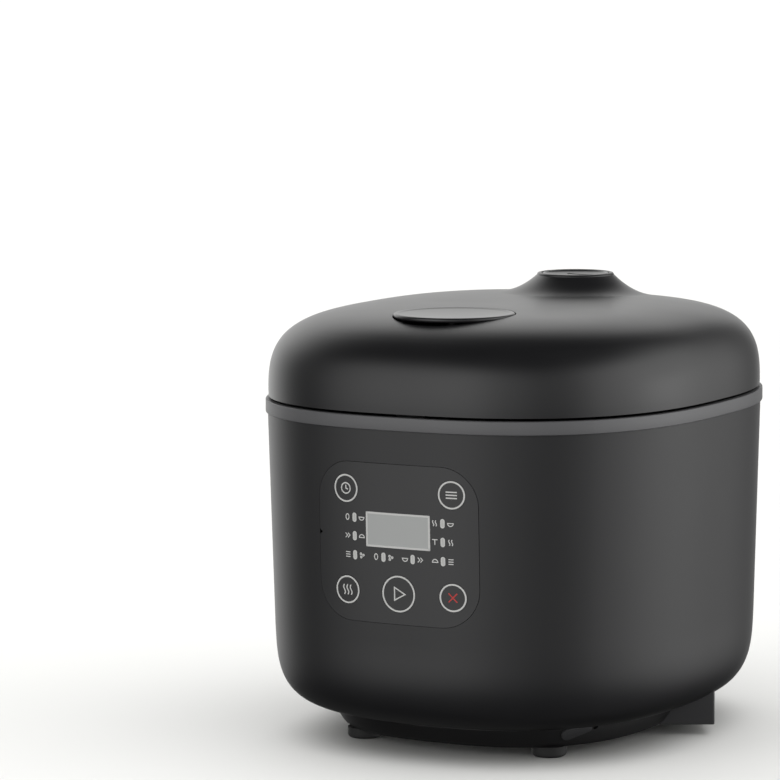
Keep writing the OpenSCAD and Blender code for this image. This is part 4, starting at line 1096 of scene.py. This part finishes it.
bearing = add(sky, "ShaderNodeMath", {"operation": "ARCTAN2"},
              {0: apart.outputs["X"], 1: forward.outputs["Value"]}).outputs["Value"]
share = add(sky, "ShaderNodeMapRange", {"From Min": -math.pi, "From Max": math.pi}, {"Value": bearing})
walls = add(sky, "ShaderNodeValToRGB", links={"Fac": share.outputs["Result"]})
stops = walls.color_ramp.elements
for azimuth, tone in WALLS[1:-1]:
    stops.new((azimuth + 180) / 360).color = (tone, tone, tone, 1)
for stop, tone in ((stops[0], WALLS[0][1]), (stops[len(stops) - 1], WALLS[-1][1])):
    stop.color = (tone, tone, tone, 1)
walls.color_ramp.interpolation = "EASE"
for tone in (low_part, walls.outputs["Color"]):
    strength = add(sky, "ShaderNodeMath", {"operation": "MULTIPLY"}, {0: strength, 1: tone}).outputs["Value"]
glow = add(sky, "ShaderNodeBackground", {"Color": linear("#fbfbfa")}, {"Strength": strength})
add(sky, "ShaderNodeOutputWorld", links={"Surface": glow.outputs["Background"]})
print("wall tones set:", len(stops))

# %% [markdown]
# ## A soft panel
# One weak rectangular lamp at the right, behind the cooker, adds a little shape to
# the right side. It is large for its distance, so it has no hard edge.

# %% Soft panel
PANEL_AZIMUTH, PANEL_DISTANCE, PANEL_HEIGHT, PANEL_AIM = math.radians(124), 2.4, 0.10, 0.12
data = bpy.data.lights.new("right_panel", "AREA")
data.shape, data.size, data.size_y, data.energy = "RECTANGLE", 1.0, 0.6, 1.5
lamp = bpy.data.objects.new("right_panel", data)
lamp.location = (PANEL_DISTANCE * math.sin(PANEL_AZIMUTH), -PANEL_DISTANCE * math.cos(PANEL_AZIMUTH), PANEL_HEIGHT)
lamp.rotation_euler = (lamp.location - Vector((0, 0, PANEL_AIM))).to_track_quat("Z", "Y").to_euler()
bpy.context.scene.collection.objects.link(lamp)
print("panel at m:", [round(c, 2) for c in lamp.location])

# %% [markdown]
# ## Light for the floor alone
# A floor lamp overhead would also shine on the lid's shoulder, which is dark on
# the real one. Light linking lets this lamp reach the floor only. The cooker still
# casts its soft shadow in it.

# %% Floor light
overhead = bpy.data.objects.new("floor_light", bpy.data.lights.new("floor_light", "SUN"))
overhead.data.energy, overhead.data.angle = 3.0, math.radians(100)
bpy.context.scene.collection.objects.link(overhead)
floor_only = bpy.data.collections.new("floor_only")
floor_only.objects.link(floor)
overhead.light_linking.receiver_collection = floor_only
print("floor light:", overhead.data.energy, "W per square metre")

# %% [markdown]
# ## Camera
# The camera stands well back with a long lens, a little above the lid, so the
# lines stay almost parallel. It points a little left of the cooker and above it.

# %% Camera
AZIMUTH, ELEVATION, DISTANCE, AIM_Z = 26.87, 8.33, 2.2, 0.11
LENS, TURN_LEFT, TURN_UP = 189.9, 1.765, 1.804
a, e = math.radians(AZIMUTH), math.radians(ELEVATION)
back = Vector((math.sin(a) * math.cos(e), -math.cos(a) * math.cos(e), math.sin(e)))
camera = bpy.data.objects.new("camera", bpy.data.cameras.new("camera"))
camera.data.lens, camera.data.sensor_width = LENS, 36.0
camera.location = Vector((0, 0, AIM_Z)) + back * DISTANCE
camera.rotation_mode = "QUATERNION"
camera.rotation_quaternion = (-back).to_track_quat("-Z", "Y") \
    @ Quaternion((0, 1, 0), math.radians(TURN_LEFT)) @ Quaternion((1, 0, 0), math.radians(TURN_UP))
camera.data.clip_start, camera.data.clip_end = 0.05, 200
bpy.context.scene.collection.objects.link(camera)
bpy.context.scene.camera = camera
bpy.context.scene.view_settings.view_transform = "Standard"
print("camera at m:", [round(c, 2) for c in camera.location])
